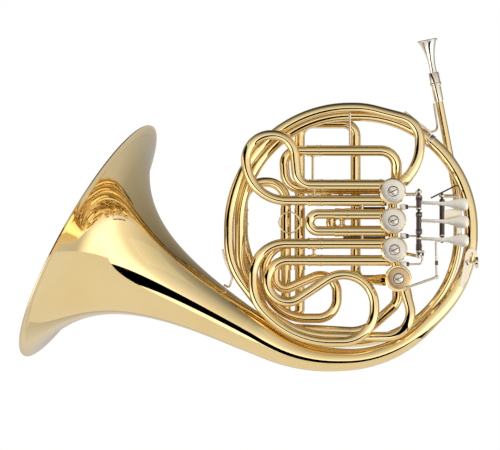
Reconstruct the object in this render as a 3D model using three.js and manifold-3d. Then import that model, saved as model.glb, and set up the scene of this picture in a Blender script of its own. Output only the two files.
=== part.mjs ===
// Double french horn, upright as it is held: +X to the right, +Y away from the player's view, +Z up.
// Lengths are millimetres. The origin lies on the back of the main ring, where the left hand holds it.
import * as THREE from 'three';
import Module from 'manifold-3d';
import { mergeVertices } from 'three/addons/utils/BufferGeometryUtils.js';

const wasm = await Module();
wasm.setup();

// Driving sizes of the whole horn
const RING_DIAMETER = 300;
const BELL_RIM_DIAMETER = 310;
const BELL_THROAT_RADIUS = 25;
const BELL_FLARE_LENGTH = 55;
const BELL_WALL = 0.8;
const RIM_BEAD_RADIUS = 1.7;

// Layers of tubing, measured along Y from the middle of the valve casings
const F_LAYER = -13;
const MIDDLE_LAYER = 0;
const FLAT_LAYER = 13;
const BACK_LAYER = 33;
const BELL_LAYER = 6;
const BELL_MOUTH_SETBACK = 44;
const BELL_THROAT_SETBACK = 3;

// Tube radii
const BOW_RADIUS = 5.9;
const LEG_RADIUS = 5.3;
const SLEEVE_RADIUS = 6.3;
const FERRULE_RADIUS = 6.8;
const RUNNING_CLEARANCE = 0.35;
const SEAT_GAP = 0.3;
const TUBE_WALL = 0.6;
const RING_TUBE_RADIUS = 5.9;
const BRANCH_END_RADIUS = 6;
const TAIL_END_RADIUS = 7;
const TAIL_TAPER_LENGTH = 115;
const TAIL_BORE_DEPTH = 12;
const LEADPIPE_START_RADIUS = 4.6;
const LEADPIPE_END_RADIUS = 5.9;

// Slides
const LEG_LENGTH = 34;
const FERRULE_LENGTH = 3;
const BOW_COLLAR_LENGTH = 14;
const SMALL_COLLAR_LENGTH = 12;
const LEG_BORE_DEPTH = 10;

// Rotary valves
const CASING_RADIUS = 14.5;
const CASING_BORE_RADIUS = 12;
const CASING_HALF_DEPTH = 26;
const CASING_PLATE = 3.5;
const CASING_FLANGE_RADIUS = 15.6;
const CASING_FLANGE_DEPTH = 2.4;
const ROTOR_PASSAGE_RADIUS = 4.6;
const ROTOR_PASSAGE_OFFSET = 9.2;
const STEM_RADIUS = 3;
const DISC_RADIUS = 14.2;
const CHANGE_DISC_RADIUS = 12.7;
const DISC_THICKNESS = 3;
const DISC_LIFT = 7;
const DISC_EDGE_ROUND = 0.6;
const SCREW_RADIUS = 5.5;
const SCREW_HEAD = 1.6;
const SLOT_WIDTH = 1.2;
const SLOT_DEPTH = 0.8;
const SLOT_TILT_DEGREES = -25;
const CRANK_RADIUS = 6.4;
const CRANK_PIN_RADIUS = 1.5;
const CAP_RADIUS = 14.9;
const CAP_DEPTH = 5;
const CAP_KNOB_RADIUS = 4.2;
const CAP_KNOB_DEPTH = 2;
const KNUCKLE_RADIUS = 5.4;
const PORT_LENGTH = 8;
const PORT_LIP = 0.7;

// Mouthpiece and receiver
const CUP_RIM_RADIUS = 11.8;
const CUP_BORE_RADIUS = 8.8;
const CUP_DEPTH = 24;
const MOUTHPIECE_LENGTH = 64.5;
const SHANK_RADIUS = 4.1;
const SHANK_TOP_RADIUS = 4.715;
const SHANK_END_RADIUS = 3.6;
const RECEIVER_RADIUS = 6;
const RECEIVER_END_RADIUS = 5.4;
const RECEIVER_LENGTH = 34.7;
const RECEIVER_RING_START = 12;
const RECEIVER_RING_RADIUS = 6.7;

// Levers
const LEVER_LAYER = -60;
const LINK_LAYER = -30;
const THUMB_LAYER = 0;
const AXLE_RADIUS = 1.6;
const HUB_RADIUS = 3;
const PADDLE_THICKNESS = 1.8;
const PADDLE_HALF_WIDTH = 7.3;
const LINK_RADIUS = 1.2;
const THUMB_ARM_RADIUS = 1.56;
const LINK_PIN_RADIUS = 1.3;
const LINK_BLOCK = 7;
const LINK_BLOCK_DEPTH = 4.4;
const LINK_NUT_RADIUS = 2.6;
const LINK_NUT_LENGTH = 3;
const ARM_THICKNESS = 1.6;
const ARM_HALF_WIDTH = 3.4;
const EYE_CLEARANCE = 0.7;

// Small fittings
const BRACE_RADIUS = 1.5;
const BRACE_FOOT_RADIUS = 4.2;
const BRACE_FOOT_THICKNESS = 1.2;
const BALL_RADIUS = 3.2;
const PULL_RING_RADIUS = 12.2;
const PULL_WIRE_RADIUS = 0.8;
const HOOK_THICKNESS = 2.4;
const KNOB_RADIUS = 6.6;
const KNOB_THICKNESS = 3.4;

// Facets
const TUBE_SIDES = 8;
const BELL_SIDES = 22;
const CASING_SIDES = 16;
const SMALL_SIDES = 6;
const ARC_STEP_DEGREES = 31;
const ARC_SAG = 0.9;
const MERGE_DISTANCE = 1e-4;

// The photograph's pixels, and where the main ring lies in them
const RING_LEFT_PX = 223;
const RING_RIGHT_PX = 478.5;
const MM_PER_PIXEL = RING_DIAMETER / (RING_RIGHT_PX - RING_LEFT_PX);
const HAND_PX = { x: 471.5, y: 238 };

function across(px) {
  return (px - HAND_PX.x) * MM_PER_PIXEL;
}

function up(py) {
  return (HAND_PX.y - py) * MM_PER_PIXEL;
}

function place(px, py, depth) {
  return new THREE.Vector3(across(px), depth, up(py));
}

// Routes: a list of corners, each with its depth and its bend radius in pixels, becomes
// straight runs joined by round bends
function stations(corners) {
  const points = corners.map((c) => place(c[0], c[1], c[2]));
  const list = [{ point: points[0], tangent: points[1].clone().sub(points[0]).normalize() }];
  for (let i = 1; i < points.length - 1; i += 1) {
    const before = points[i - 1].clone().sub(points[i]).normalize();
    const after = points[i + 1].clone().sub(points[i]).normalize();
    const turn = Math.PI - before.angleTo(after);
    const radius = corners[i][3] * MM_PER_PIXEL;
    const run = radius * Math.tan(turn / 2);
    const middle = before.clone().add(after).normalize();
    const hub = points[i].clone().addScaledVector(middle, radius / Math.cos(turn / 2));
    const start = points[i].clone().addScaledVector(before, run).sub(hub);
    const end = points[i].clone().addScaledVector(after, run).sub(hub);
    const widest = Math.min(2 * Math.acos(1 - ARC_SAG / radius), THREE.MathUtils.degToRad(ARC_STEP_DEGREES));
    const steps = Math.max(1, Math.ceil(turn / widest));
    for (let k = 0; k <= steps; k += 1) {
      const share = k / steps;
      const a = Math.sin((1 - share) * turn) / Math.sin(turn);
      const b = Math.sin(share * turn) / Math.sin(turn);
      const point = hub.clone().addScaledVector(start, a).addScaledVector(end, b);
      const tangent = start.clone().multiplyScalar(-Math.cos((1 - share) * turn));
      tangent.addScaledVector(end, Math.cos(share * turn)).normalize();
      list.push({ point, tangent });
    }
  }
  const last = points.length - 1;
  list.push({ point: points[last], tangent: points[last].clone().sub(points[last - 1]).normalize() });
  return measured(list);
}

function measured(list) {
  let travel = 0;
  list.forEach((s, i) => {
    if (i > 0) {
      travel += s.point.distanceTo(list[i - 1].point);
    }
    s.travel = travel;
  });
  return list;
}

function lengthOf(list) {
  return list[list.length - 1].travel;
}

function stationAt(list, travel) {
  let i = 1;
  while (i < list.length - 1 && list[i].travel < travel) {
    i += 1;
  }
  const a = list[i - 1];
  const b = list[i];
  const share = (travel - a.travel) / (b.travel - a.travel);
  const tangent = a.tangent.clone().lerp(b.tangent, share).normalize();
  return { point: a.point.clone().lerp(b.point, share), tangent, travel };
}

// The stretch of a route between two distances along it
function stretch(list, from, to) {
  const inside = list.filter((s) => s.travel > from + SEAT_GAP && s.travel < to - SEAT_GAP);
  return [stationAt(list, from), ...inside, stationAt(list, to)];
}

// A frame for each station, carried along the route without twist
function framed(list) {
  const side = new THREE.Vector3(0, 1, 0);
  return list.map((s, i) => {
    if (i === 0 && Math.abs(s.tangent.dot(side)) > Math.SQRT1_2) {
      side.set(1, 0, 0);
    }
    side.addScaledVector(s.tangent, -side.dot(s.tangent)).normalize();
    const other = s.tangent.clone().cross(side);
    return { ...s, side: side.clone(), other };
  });
}

// A closed skin over a row of rings, each a place, two directions and a radius
function skin(rings, sides) {
  const positions = [];
  rings.forEach((ring) => {
    for (let k = 0; k < sides; k += 1) {
      const angle = (2 * Math.PI * k) / sides;
      const point = ring.point.clone();
      point.addScaledVector(ring.side, ring.radius * Math.cos(angle));
      point.addScaledVector(ring.other, ring.radius * Math.sin(angle));
      positions.push(point.x, point.y, point.z);
    }
  });
  const faces = [];
  for (let r = 0; r < rings.length - 1; r += 1) {
    for (let k = 0; k < sides; k += 1) {
      const next = (k + 1) % sides;
      const a = r * sides + k;
      const b = r * sides + next;
      const c = (r + 1) * sides + k;
      const d = (r + 1) * sides + next;
      faces.push(a, b, d, a, d, c);
    }
  }
  const last = (rings.length - 1) * sides;
  for (let k = 1; k < sides - 1; k += 1) {
    faces.push(0, k + 1, k);
    faces.push(last, last + k, last + k + 1);
  }
  const geometry = new THREE.BufferGeometry();
  geometry.setAttribute('position', new THREE.Float32BufferAttribute(positions, 3));
  geometry.setIndex(faces);
  return geometry;
}

function sized(ring, radius) {
  return { ...ring, radius };
}

// A tube along a list of stations. Its ends are bored to the given depths.
function tube(list, radiusAt, startBore = 0, endBore = 0, wall = TUBE_WALL, sides = TUBE_SIDES) {
  const rings = framed(list).map((s) => sized(s, radiusAt(s.travel)));
  const first = rings[0];
  const last = rings[rings.length - 1];
  const row = [...rings];
  if (startBore > 0) {
    const radius = first.radius - wall;
    const deep = { ...first, point: first.point.clone().addScaledVector(first.tangent, startBore), radius };
    row.unshift(deep, sized(first, radius));
  }
  if (endBore > 0) {
    const radius = last.radius - wall;
    const deep = { ...last, point: last.point.clone().addScaledVector(last.tangent, -endBore), radius };
    row.push(sized(last, radius), deep);
  }
  return skin(row, sides);
}

// Rings turned about a straight axis: each share of the profile is a distance and a radius
function turned(start, direction, profile, sides = CASING_SIDES) {
  const tangent = direction.clone().normalize();
  const side = new THREE.Vector3(0, 1, 0);
  if (Math.abs(tangent.dot(side)) > Math.SQRT1_2) {
    side.set(0, 0, 1);
  }
  side.addScaledVector(tangent, -side.dot(tangent)).normalize();
  const other = tangent.clone().cross(side);
  const rings = profile.map(([distance, radius]) => {
    const point = start.clone().addScaledVector(tangent, distance);
    return { point, tangent, side, other, radius };
  });
  return skin(rings, sides);
}

function rod(from, to, radius, sides = SMALL_SIDES) {
  const direction = to.clone().sub(from);
  return turned(from, direction, [[0, radius], [direction.length(), radius]], sides);
}

function block(centre, width, depth, height) {
  const geometry = new THREE.BoxGeometry(width, depth, height);
  geometry.translate(centre.x, centre.y, centre.z);
  return geometry;
}

function ball(centre, radius) {
  const rows = SMALL_SIDES / 2;
  const profile = [];
  for (let i = 1; i < rows; i += 1) {
    const angle = (Math.PI * i) / rows;
    profile.push([radius * (1 - Math.cos(angle)), radius * Math.sin(angle)]);
  }
  const start = centre.clone().add(new THREE.Vector3(0, -radius, 0));
  return turned(start, new THREE.Vector3(0, 1, 0), profile, SMALL_SIDES);
}

// A flat plate whose outline lies in a plane across Y, from one depth to another
function plate(outline, nearDepth, farDepth) {
  const shape = new THREE.Shape(outline.map((p) => new THREE.Vector2(p.x, p.z)));
  const thickness = farDepth - nearDepth;
  const geometry = new THREE.ExtrudeGeometry(shape, { depth: thickness, bevelEnabled: false });
  geometry.rotateX(Math.PI / 2);
  geometry.translate(0, farDepth, 0);
  return geometry;
}

// Booleans
function solid(geometry) {
  const bare = geometry.clone();
  bare.deleteAttribute('normal');
  bare.deleteAttribute('uv');
  const merged = mergeVertices(bare, MERGE_DISTANCE);
  return new wasm.Manifold(new wasm.Mesh({
    numProp: 3,
    vertProperties: new Float32Array(merged.attributes.position.array),
    triVerts: new Uint32Array(merged.index.array),
  }));
}

function joined(...geometries) {
  return geometries.map((g) => solid(g)).reduce((all, one) => all.add(one));
}

function surface(manifold) {
  const mesh = manifold.getMesh();
  const geometry = new THREE.BufferGeometry();
  geometry.setAttribute('position', new THREE.BufferAttribute(mesh.vertProperties, 3));
  geometry.setIndex(new THREE.BufferAttribute(mesh.triVerts, 1));
  return geometry;
}

// Finishes
const finishes = {
  lacquered_brass: { color: 0xd9b45c, roughness: 0.14, metalness: 1 },
  nickel_silver: { color: 0xe6dcc2, roughness: 0.22, metalness: 1 },
  dark_steel: { color: 0x3a3230, roughness: 0.4, metalness: 1 },
  silver_plate: { color: 0xe8e4da, roughness: 0.16, metalness: 1 },
};

const horn = new THREE.Group();

function add(name, shape, finish) {
  const geometry = shape.isBufferGeometry ? shape : surface(shape);
  const mesh = new THREE.Mesh(geometry, new THREE.MeshStandardMaterial(finishes[finish]));
  mesh.name = name;
  horn.add(mesh);
}

function constant(radius) {
  return () => radius;
}

// Bell: a hollow flare, its wall turned about the axis from the throat to the rim
const RIM_PX = { x: 86.5, y: 240.5 };
const THROAT_PX = { x: 246, y: 329.3 };
const TAIL_LEAD_SHARE = 0.07;
const rimCentre = place(RIM_PX.x, RIM_PX.y, BELL_LAYER + BELL_MOUTH_SETBACK);
const throat = place(THROAT_PX.x, THROAT_PX.y, BELL_LAYER + BELL_THROAT_SETBACK);
const bellAxis = throat.clone().sub(rimCentre);
const bellLength = bellAxis.length();
const flareRate = Math.log(BELL_RIM_DIAMETER / 2 / BELL_THROAT_RADIUS)
  / Math.log((bellLength + BELL_FLARE_LENGTH) / BELL_FLARE_LENGTH);

function flareRadius(distance) {
  const share = BELL_FLARE_LENGTH / (distance + BELL_FLARE_LENGTH);
  return (BELL_RIM_DIAMETER / 2) * share ** flareRate;
}

const flareShares = [0, 0.02, 0.05, 0.09, 0.14, 0.2, 0.28, 0.38, 0.5, 0.64, 0.8, 0.92, 1];

function makeBell() {
  const lip = RIM_BEAD_RADIUS;
  const bead = [
    [lip, flareRadius(lip) - lip],
    [0, BELL_RIM_DIAMETER / 2 - lip],
    [0, BELL_RIM_DIAMETER / 2],
    [lip, BELL_RIM_DIAMETER / 2 + lip / 2],
    [lip * 2, BELL_RIM_DIAMETER / 2],
    [lip * 2, flareRadius(lip * 2)],
  ];
  const distances = flareShares.map((share) => lip * 2 + share * (bellLength - lip * 2));
  const outer = distances.slice(1).map((d) => [d, flareRadius(d)]);
  const inner = distances.slice(1).reverse().map((d) => [d, flareRadius(d) - BELL_WALL]);
  const profile = [...bead, ...outer, ...inner];
  return closedTurn(rimCentre, bellAxis, profile, BELL_SIDES);
}

// A profile that closes on itself, turned about an axis, as a LatheGeometry would
function closedTurn(start, direction, profile, sides) {
  const points = [...profile, profile[0]].map(([distance, radius]) => new THREE.Vector2(radius, distance));
  const geometry = new THREE.LatheGeometry(points, sides);
  const turn = new THREE.Quaternion();
  turn.setFromUnitVectors(new THREE.Vector3(0, 1, 0), direction.clone().normalize());
  geometry.applyQuaternion(turn);
  geometry.translate(start.x, start.y, start.z);
  geometry.deleteAttribute('normal');
  geometry.deleteAttribute('uv');
  return mergeVertices(geometry, MERGE_DISTANCE);
}

add('bell', makeBell(), 'lacquered_brass');

// Bell tail and first branch: one conical run from the bell's throat, right round the ring and
// back along the bottom to the change valve
const BRANCH_LAYER = 13;
const leadPx = {
  x: THROAT_PX.x + (THROAT_PX.x - RIM_PX.x) * TAIL_LEAD_SHARE,
  y: THROAT_PX.y + (THROAT_PX.y - RIM_PX.y) * TAIL_LEAD_SHARE,
  depth: BELL_THROAT_SETBACK - (BELL_MOUTH_SETBACK - BELL_THROAT_SETBACK) * TAIL_LEAD_SHARE,
};
const branchRoute = stations([
  [THROAT_PX.x, THROAT_PX.y, BELL_LAYER + BELL_THROAT_SETBACK],
  [leadPx.x, leadPx.y, BELL_LAYER + leadPx.depth, 60],
  [300.5, 359.8, BELL_LAYER, 140],
  [391.7, 359.8, BELL_LAYER, 112],
  [471.5, 280, BELL_LAYER + 2, 112],
  [471.5, 115, BRANCH_LAYER, 113],
  [240, 115, BRANCH_LAYER, 109],
  [240, 268, BRANCH_LAYER + 8, 60],
  [275, 328.2, BRANCH_LAYER + 12, 42],
  [364.5, 333, BRANCH_LAYER - 1, 38],
  [398.2, 302.6, BRANCH_LAYER - 4, 19],
  [398.2, 293.5, BRANCH_LAYER - 4],
]);
const branchLength = lengthOf(branchRoute);
const TAIL_JOINT_PX = { x: 425, y: 138 };

function travelNear(list, target) {
  let best = list[0];
  list.forEach((s) => {
    if (s.point.distanceTo(target) < best.point.distanceTo(target)) {
      best = s;
    }
  });
  return best.travel;
}

const tailJoint = travelNear(branchRoute, place(TAIL_JOINT_PX.x, TAIL_JOINT_PX.y, BRANCH_LAYER));

function tailRadius(travel) {
  const swell = BELL_THROAT_RADIUS - TAIL_END_RADIUS;
  const taper = TAIL_END_RADIUS + swell * Math.exp(-travel / TAIL_TAPER_LENGTH);
  const share = Math.max(0, travel - tailJoint) / (branchLength - tailJoint);
  return taper + (BRANCH_END_RADIUS - TAIL_END_RADIUS) * share;
}

function makeTail() {
  const list = stretch(branchRoute, SEAT_GAP, tailJoint);
  const body = tube(list, tailRadius, TAIL_BORE_DEPTH, 0, BELL_WALL, CASING_SIDES);
  const band = stretch(branchRoute, tailJoint - FERRULE_LENGTH * 2, tailJoint);
  const ferrule = tube(band, (t) => tailRadius(t) + TUBE_WALL);
  return joined(body, ferrule);
}

function makeFirstBranch() {
  const list = stretch(branchRoute, tailJoint + SEAT_GAP, branchLength);
  return tube(list, tailRadius);
}

add('bell_tail', makeTail(), 'lacquered_brass');
add('first_branch', makeFirstBranch(), 'lacquered_brass');

// Long ring tube of the F side: from the first valve over the top, down the left and along the bottom
const RING_TUBE_START = -7;
const RING_TUBE_END = -9;
const ringTubeRoute = stations([
  [404.3, 180.7, RING_TUBE_START],
  [419.7, 165.3, RING_TUBE_START, 22],
  [419.7, 122, RING_TUBE_START / 2, 24],
  [364.6, 107.5, MIDDLE_LAYER, 80],
  [229, 107.5, MIDDLE_LAYER, 121],
  [229, 264.8, MIDDLE_LAYER, 70],
  [282, 335, MIDDLE_LAYER, 96],
  [362, 337, MIDDLE_LAYER + 1, 60],
  [417.5, 336, RING_TUBE_END - 5, 24],
  [405.6, 292.2, RING_TUBE_END],
]);

// Leadpipe: from the receiver down the right, along the bottom and up the left to the tuning slide
const LEADPIPE_START_PX = { x: 439.9, y: 101 };
const MAIN_LEG_PX = { left: 286, right: 300 };
const MAIN_SLEEVE_TOP_PX = 208;
const MAIN_SLEEVE_END_PX = 258;
const leadpipeRoute = stations([
  [LEADPIPE_START_PX.x, LEADPIPE_START_PX.y, BACK_LAYER],
  [458.5, 197.7, BACK_LAYER, 120],
  [458.5, 341, BACK_LAYER, 107],
  [274, 345, BACK_LAYER + 6, 50],
  [243, 240, BACK_LAYER, 60],
  [243, 182, BACK_LAYER, 22],
  [MAIN_LEG_PX.left, 182, BACK_LAYER, 19],
  [MAIN_LEG_PX.left, MAIN_SLEEVE_END_PX, BACK_LAYER],
]);

function leadpipeRadius(travel) {
  const share = Math.min(1, travel / (RING_DIAMETER * 2));
  return LEADPIPE_START_RADIUS + (LEADPIPE_END_RADIUS - LEADPIPE_START_RADIUS) * share;
}

// The open end of a sleeve that a slide leg runs in: a wall with a bore and a ferrule at the mouth
function sleeve(from, to) {
  const direction = to.clone().sub(from);
  const length = direction.length();
  const profile = [
    [0, SLEEVE_RADIUS],
    [length - FERRULE_LENGTH, SLEEVE_RADIUS],
    [length - FERRULE_LENGTH, FERRULE_RADIUS],
    [length, FERRULE_RADIUS],
    [length, LEG_RADIUS + RUNNING_CLEARANCE],
    [length - LEG_LENGTH - FERRULE_LENGTH, LEG_RADIUS + RUNNING_CLEARANCE],
  ];
  return turned(from, direction, profile, TUBE_SIDES);
}

function makeLeadpipe() {
  const sleeveStart = lengthOf(leadpipeRoute) - (MAIN_SLEEVE_END_PX - MAIN_SLEEVE_TOP_PX) * MM_PER_PIXEL;
  const body = tube(stretch(leadpipeRoute, 0, sleeveStart + TUBE_WALL), leadpipeRadius);
  const top = place(MAIN_LEG_PX.left, MAIN_SLEEVE_TOP_PX, BACK_LAYER);
  const end = place(MAIN_LEG_PX.left, MAIN_SLEEVE_END_PX, BACK_LAYER);
  return joined(body, sleeve(top, end));
}

add('leadpipe', makeLeadpipe(), 'lacquered_brass');

// Crown tube: from the tuning slide's second leg over the crown and down to the change valve
const CROWN_TOP_PX = 123;
const CROWN_RIGHT_PX = 356;
const CHANGE_PORT_PX = { x: 382.6, y: 280 };
const crownRoute = stations([
  [MAIN_LEG_PX.right, MAIN_SLEEVE_TOP_PX, BACK_LAYER],
  [MAIN_LEG_PX.right, CROWN_TOP_PX, BACK_LAYER, 13],
  [CROWN_RIGHT_PX, CROWN_TOP_PX, BACK_LAYER, 13],
  [CROWN_RIGHT_PX, CHANGE_PORT_PX.y, BACK_LAYER, 10],
  [CHANGE_PORT_PX.x, CHANGE_PORT_PX.y, MIDDLE_LAYER + 6],
]);

function makeCrown() {
  const body = tube(crownRoute, constant(RING_TUBE_RADIUS));
  const top = place(MAIN_LEG_PX.right, MAIN_SLEEVE_TOP_PX - TUBE_WALL, BACK_LAYER);
  const end = place(MAIN_LEG_PX.right, MAIN_SLEEVE_END_PX, BACK_LAYER);
  return joined(body, sleeve(top, end));
}

add('crown_tube', makeCrown(), 'lacquered_brass');

// Receiver and mouthpiece on the leadpipe's own slope
const pipeTop = place(LEADPIPE_START_PX.x, LEADPIPE_START_PX.y, BACK_LAYER);
const pipeAxis = place(458.5, 197.7, BACK_LAYER).sub(pipeTop).normalize();
const receiverTop = pipeTop.clone().addScaledVector(pipeAxis, -RECEIVER_LENGTH);
const SHANK_DEPTH = 25;

function shankRadius(distance) {
  return SHANK_RADIUS + (SHANK_END_RADIUS - SHANK_RADIUS) * (distance / SHANK_DEPTH);
}

function makeReceiver() {
  const socket = SHANK_DEPTH + SEAT_GAP * 2;
  const profile = [
    [socket, shankRadius(socket) + RUNNING_CLEARANCE],
    [0, SHANK_RADIUS + RUNNING_CLEARANCE],
    [0, RECEIVER_RADIUS],
    [RECEIVER_RING_START, RECEIVER_RADIUS],
    [RECEIVER_RING_START, RECEIVER_RING_RADIUS],
    [RECEIVER_RING_START + FERRULE_LENGTH, RECEIVER_RING_RADIUS],
    [RECEIVER_RING_START + FERRULE_LENGTH, RECEIVER_END_RADIUS],
    [RECEIVER_LENGTH - SEAT_GAP, RECEIVER_END_RADIUS],
  ];
  return turned(receiverTop, pipeAxis, profile, CASING_SIDES);
}

add('mouthpiece_receiver', makeReceiver(), 'nickel_silver');

const cupTop = receiverTop.clone().addScaledVector(pipeAxis, SHANK_DEPTH - MOUTHPIECE_LENGTH);

function makeMouthpiece() {
  const rimRound = TUBE_WALL * 2;
  const cupOuter = CUP_RIM_RADIUS - rimRound * 2;
  const profile = [
    [CUP_DEPTH, TUBE_WALL * 3],
    [CUP_DEPTH * 0.7, CUP_BORE_RADIUS * 0.45],
    [CUP_DEPTH * 0.3, CUP_BORE_RADIUS * 0.85],
    [rimRound, CUP_BORE_RADIUS],
    [0, CUP_BORE_RADIUS + rimRound],
    [0, CUP_RIM_RADIUS - rimRound],
    [rimRound, CUP_RIM_RADIUS],
    [rimRound * 2, CUP_RIM_RADIUS - rimRound / 2],
    [rimRound * 3, cupOuter],
    [CUP_DEPTH * 0.5, CUP_BORE_RADIUS],
    [CUP_DEPTH * 0.9, CUP_BORE_RADIUS * 0.66],
    [CUP_DEPTH * 1.25, SHANK_TOP_RADIUS],
    [MOUTHPIECE_LENGTH - SHANK_DEPTH - SEAT_GAP, SHANK_TOP_RADIUS],
    [MOUTHPIECE_LENGTH - SHANK_DEPTH - SEAT_GAP, SHANK_RADIUS],
    [MOUTHPIECE_LENGTH, SHANK_END_RADIUS],
  ];
  return turned(cupTop, pipeAxis, profile, CASING_SIDES);
}

add('mouthpiece', makeMouthpiece(), 'silver_plate');
add('f_ring_tube', tube(ringTubeRoute, constant(RING_TUBE_RADIUS)), 'lacquered_brass');

// Rotary valves: three for the fingers in a column, and the change valve below them
const valves = [
  { n: 1, x: 392.4, y: 191.4, disc: DISC_RADIUS },
  { n: 2, x: 392.8, y: 220.6, disc: DISC_RADIUS },
  { n: 3, x: 393.9, y: 249.6, disc: DISC_RADIUS },
  { n: 4, x: 398, y: 278.3, disc: CHANGE_DISC_RADIUS },
];

// Slides: the height of both legs, the sleeve's mouth and the layer
const slides = {
  valve_1_f_slide: { valve: 1, upper: 185, lower: 200.5, mouth: 320, layer: F_LAYER },
  valve_2_f_slide: { valve: 2, upper: 214, lower: 231, mouth: 347, layer: F_LAYER },
  valve_3_f_slide: { valve: 3, upper: 243.5, lower: 260.4, mouth: 320, layer: F_LAYER },
  valve_1_b_flat_slide: { valve: 1, upper: 185, lower: 200.5, mouth: 347, layer: FLAT_LAYER },
  valve_2_b_flat_slide: { valve: 2, upper: 214, lower: 231, mouth: 350, layer: FLAT_LAYER },
  valve_3_b_flat_slide: { valve: 3, upper: 243.5, lower: 260.4, mouth: 320, layer: FLAT_LAYER },
};
const UPPER_LEG_PX = 150.7;
const UPPER_RETURN_PX = 189;
const UPPER_MOUTH_PX = 319;
const UPPER_SLEEVE_START_PX = 372;
const UPPER_PORT_LAYER = 6;

const bows = {
  valve_1_f_slide: [[297.5, 185, 14], [292.5, 135, 22], [246, 135, 25], [246, 200.5, 40]],
  valve_2_f_slide: [[309.5, 214, 8.4], [309.5, 231, 8.4]],
  valve_3_f_slide: [
    [253, 243.5, 32], [253, 300.5, 40], [294, 341.5, 88], [374.3, 341.5, 32],
    [374.3, 247.3, 31], [267.5, 319.4, 20], [267.5, 260.4, 20],
  ],
  valve_1_b_flat_slide: [[326, 185, 7.6], [326, 200.5, 7.6]],
  valve_2_b_flat_slide: [[331, 214, 8.4], [331, 231, 8.4]],
  valve_3_b_flat_slide: [
    [263.8, 243.5, 27], [263.8, 319, 42], [337, 319, 19], [337, 267, 16.5],
    [275.2, 294.2, 10.5], [275.2, 260.4, 10.5],
  ],
};

function legPx(slide) {
  return slide.mouth + LEG_LENGTH / MM_PER_PIXEL;
}

function bowRoute(name) {
  const slide = slides[name];
  const corners = bows[name].map(([x, y, radius]) => [x, y, slide.layer, radius]);
  return stations([
    [legPx(slide), slide.upper, slide.layer],
    ...corners,
    [legPx(slide), slide.lower, slide.layer],
  ]);
}

const upperRoute = stations([
  [UPPER_MOUTH_PX + LEG_LENGTH / MM_PER_PIXEL, UPPER_LEG_PX, MIDDLE_LAYER],
  [283.5, UPPER_LEG_PX, MIDDLE_LAYER, 13],
  [286, UPPER_RETURN_PX, MIDDLE_LAYER, 16],
  [UPPER_MOUTH_PX + LEG_LENGTH / MM_PER_PIXEL, UPPER_RETURN_PX, MIDDLE_LAYER],
]);

const mainRoute = stations([
  [MAIN_LEG_PX.left, MAIN_SLEEVE_END_PX - LEG_LENGTH / MM_PER_PIXEL, BACK_LAYER],
  [MAIN_LEG_PX.left, 317, BACK_LAYER, 6.95],
  [MAIN_LEG_PX.right, 317, BACK_LAYER, 6.95],
  [MAIN_LEG_PX.right, MAIN_SLEEVE_END_PX - LEG_LENGTH / MM_PER_PIXEL, BACK_LAYER],
]);

// The bow of a slide: legs that run in the sleeves, a collar against each mouth, and the bow itself
function bowTube(route, collar) {
  const length = lengthOf(route);
  const leg = LEG_LENGTH + SEAT_GAP;
  const collarRadius = FERRULE_RADIUS - TUBE_WALL / 2;
  const edges = [0, leg, leg + collar, length - leg - collar, length - leg, length];
  const radii = [LEG_RADIUS, collarRadius, BOW_RADIUS, collarRadius, LEG_RADIUS];
  const pieces = radii.map((radius, i) => {
    const run = stretch(route, edges[i], edges[i + 1]);
    return run.map((s) => ({ ...s, radius }));
  });
  const rings = framed(pieces.flat());
  const first = rings[0];
  const last = rings[rings.length - 1];
  const bore = LEG_RADIUS - TUBE_WALL;
  const startDeep = { ...first, point: first.point.clone().addScaledVector(first.tangent, LEG_BORE_DEPTH) };
  const endDeep = { ...last, point: last.point.clone().addScaledVector(last.tangent, -LEG_BORE_DEPTH) };
  const row = [sized(startDeep, bore), sized(first, bore), ...rings, sized(last, bore), sized(endDeep, bore)];
  return skin(row, TUBE_SIDES);
}

// A rod between the two collars of a bow, which keeps its legs parallel
function collarBrace(route, collar) {
  const along = LEG_LENGTH + SEAT_GAP + collar / 2;
  const a = stationAt(route, along).point;
  const b = stationAt(route, lengthOf(route) - along).point;
  return rod(a, b, BRACE_RADIUS, TUBE_SIDES);
}

// The lug on the second valve's bow that the pull ring hangs in
const PULL_EYE_PX = { x: 299.8, y: 222.5 };
const PULL_LUG_THICKNESS = 1.6;
const PULL_LUG_HALF = 2.4;

function pullLug(body) {
  const eye = place(PULL_EYE_PX.x, PULL_EYE_PX.y, F_LAYER);
  const left = eye.x - PULL_LUG_HALF;
  const right = across(bows.valve_2_f_slide[0][0]) - BOW_RADIUS / 2;
  const centre = new THREE.Vector3((left + right) / 2, eye.y, eye.z);
  const lug = block(centre, right - left, PULL_LUG_HALF * 2, PULL_LUG_THICKNESS);
  const hole = PULL_WIRE_RADIUS + RUNNING_CLEARANCE;
  const high = eye.clone().setZ(eye.z + BOW_RADIUS);
  const low = eye.clone().setZ(eye.z - BOW_RADIUS);
  return body.add(solid(lug)).subtract(solid(rod(low, high, hole)));
}

Object.keys(slides).forEach((name) => {
  const route = bowRoute(name);
  const body = joined(bowTube(route, BOW_COLLAR_LENGTH), collarBrace(route, BOW_COLLAR_LENGTH));
  add(name, name === 'valve_2_f_slide' ? pullLug(body) : body, 'lacquered_brass');
});
add('upper_tuning_slide', bowTube(upperRoute, BOW_COLLAR_LENGTH), 'lacquered_brass');
add('main_tuning_slide', bowTube(mainRoute, BOW_COLLAR_LENGTH), 'lacquered_brass');

// Valve casings: a bored body, closed in front by its bearing plate, with its ports and sleeves
const front = new THREE.Vector3(0, 1, 0);

function drum(valve, from, to, radius, sides = CASING_SIDES) {
  const start = place(valve.x, valve.y, from);
  return turned(start, front, [[0, radius], [to - from, radius]], sides);
}

function portStart(valve, py, layer) {
  const height = up(py) - up(valve.y);
  const reach = Math.sqrt(CASING_RADIUS ** 2 - height ** 2);
  return place(valve.x, py, layer).add(new THREE.Vector3(-reach + SLEEVE_RADIUS / 2, 0, 0));
}

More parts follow.
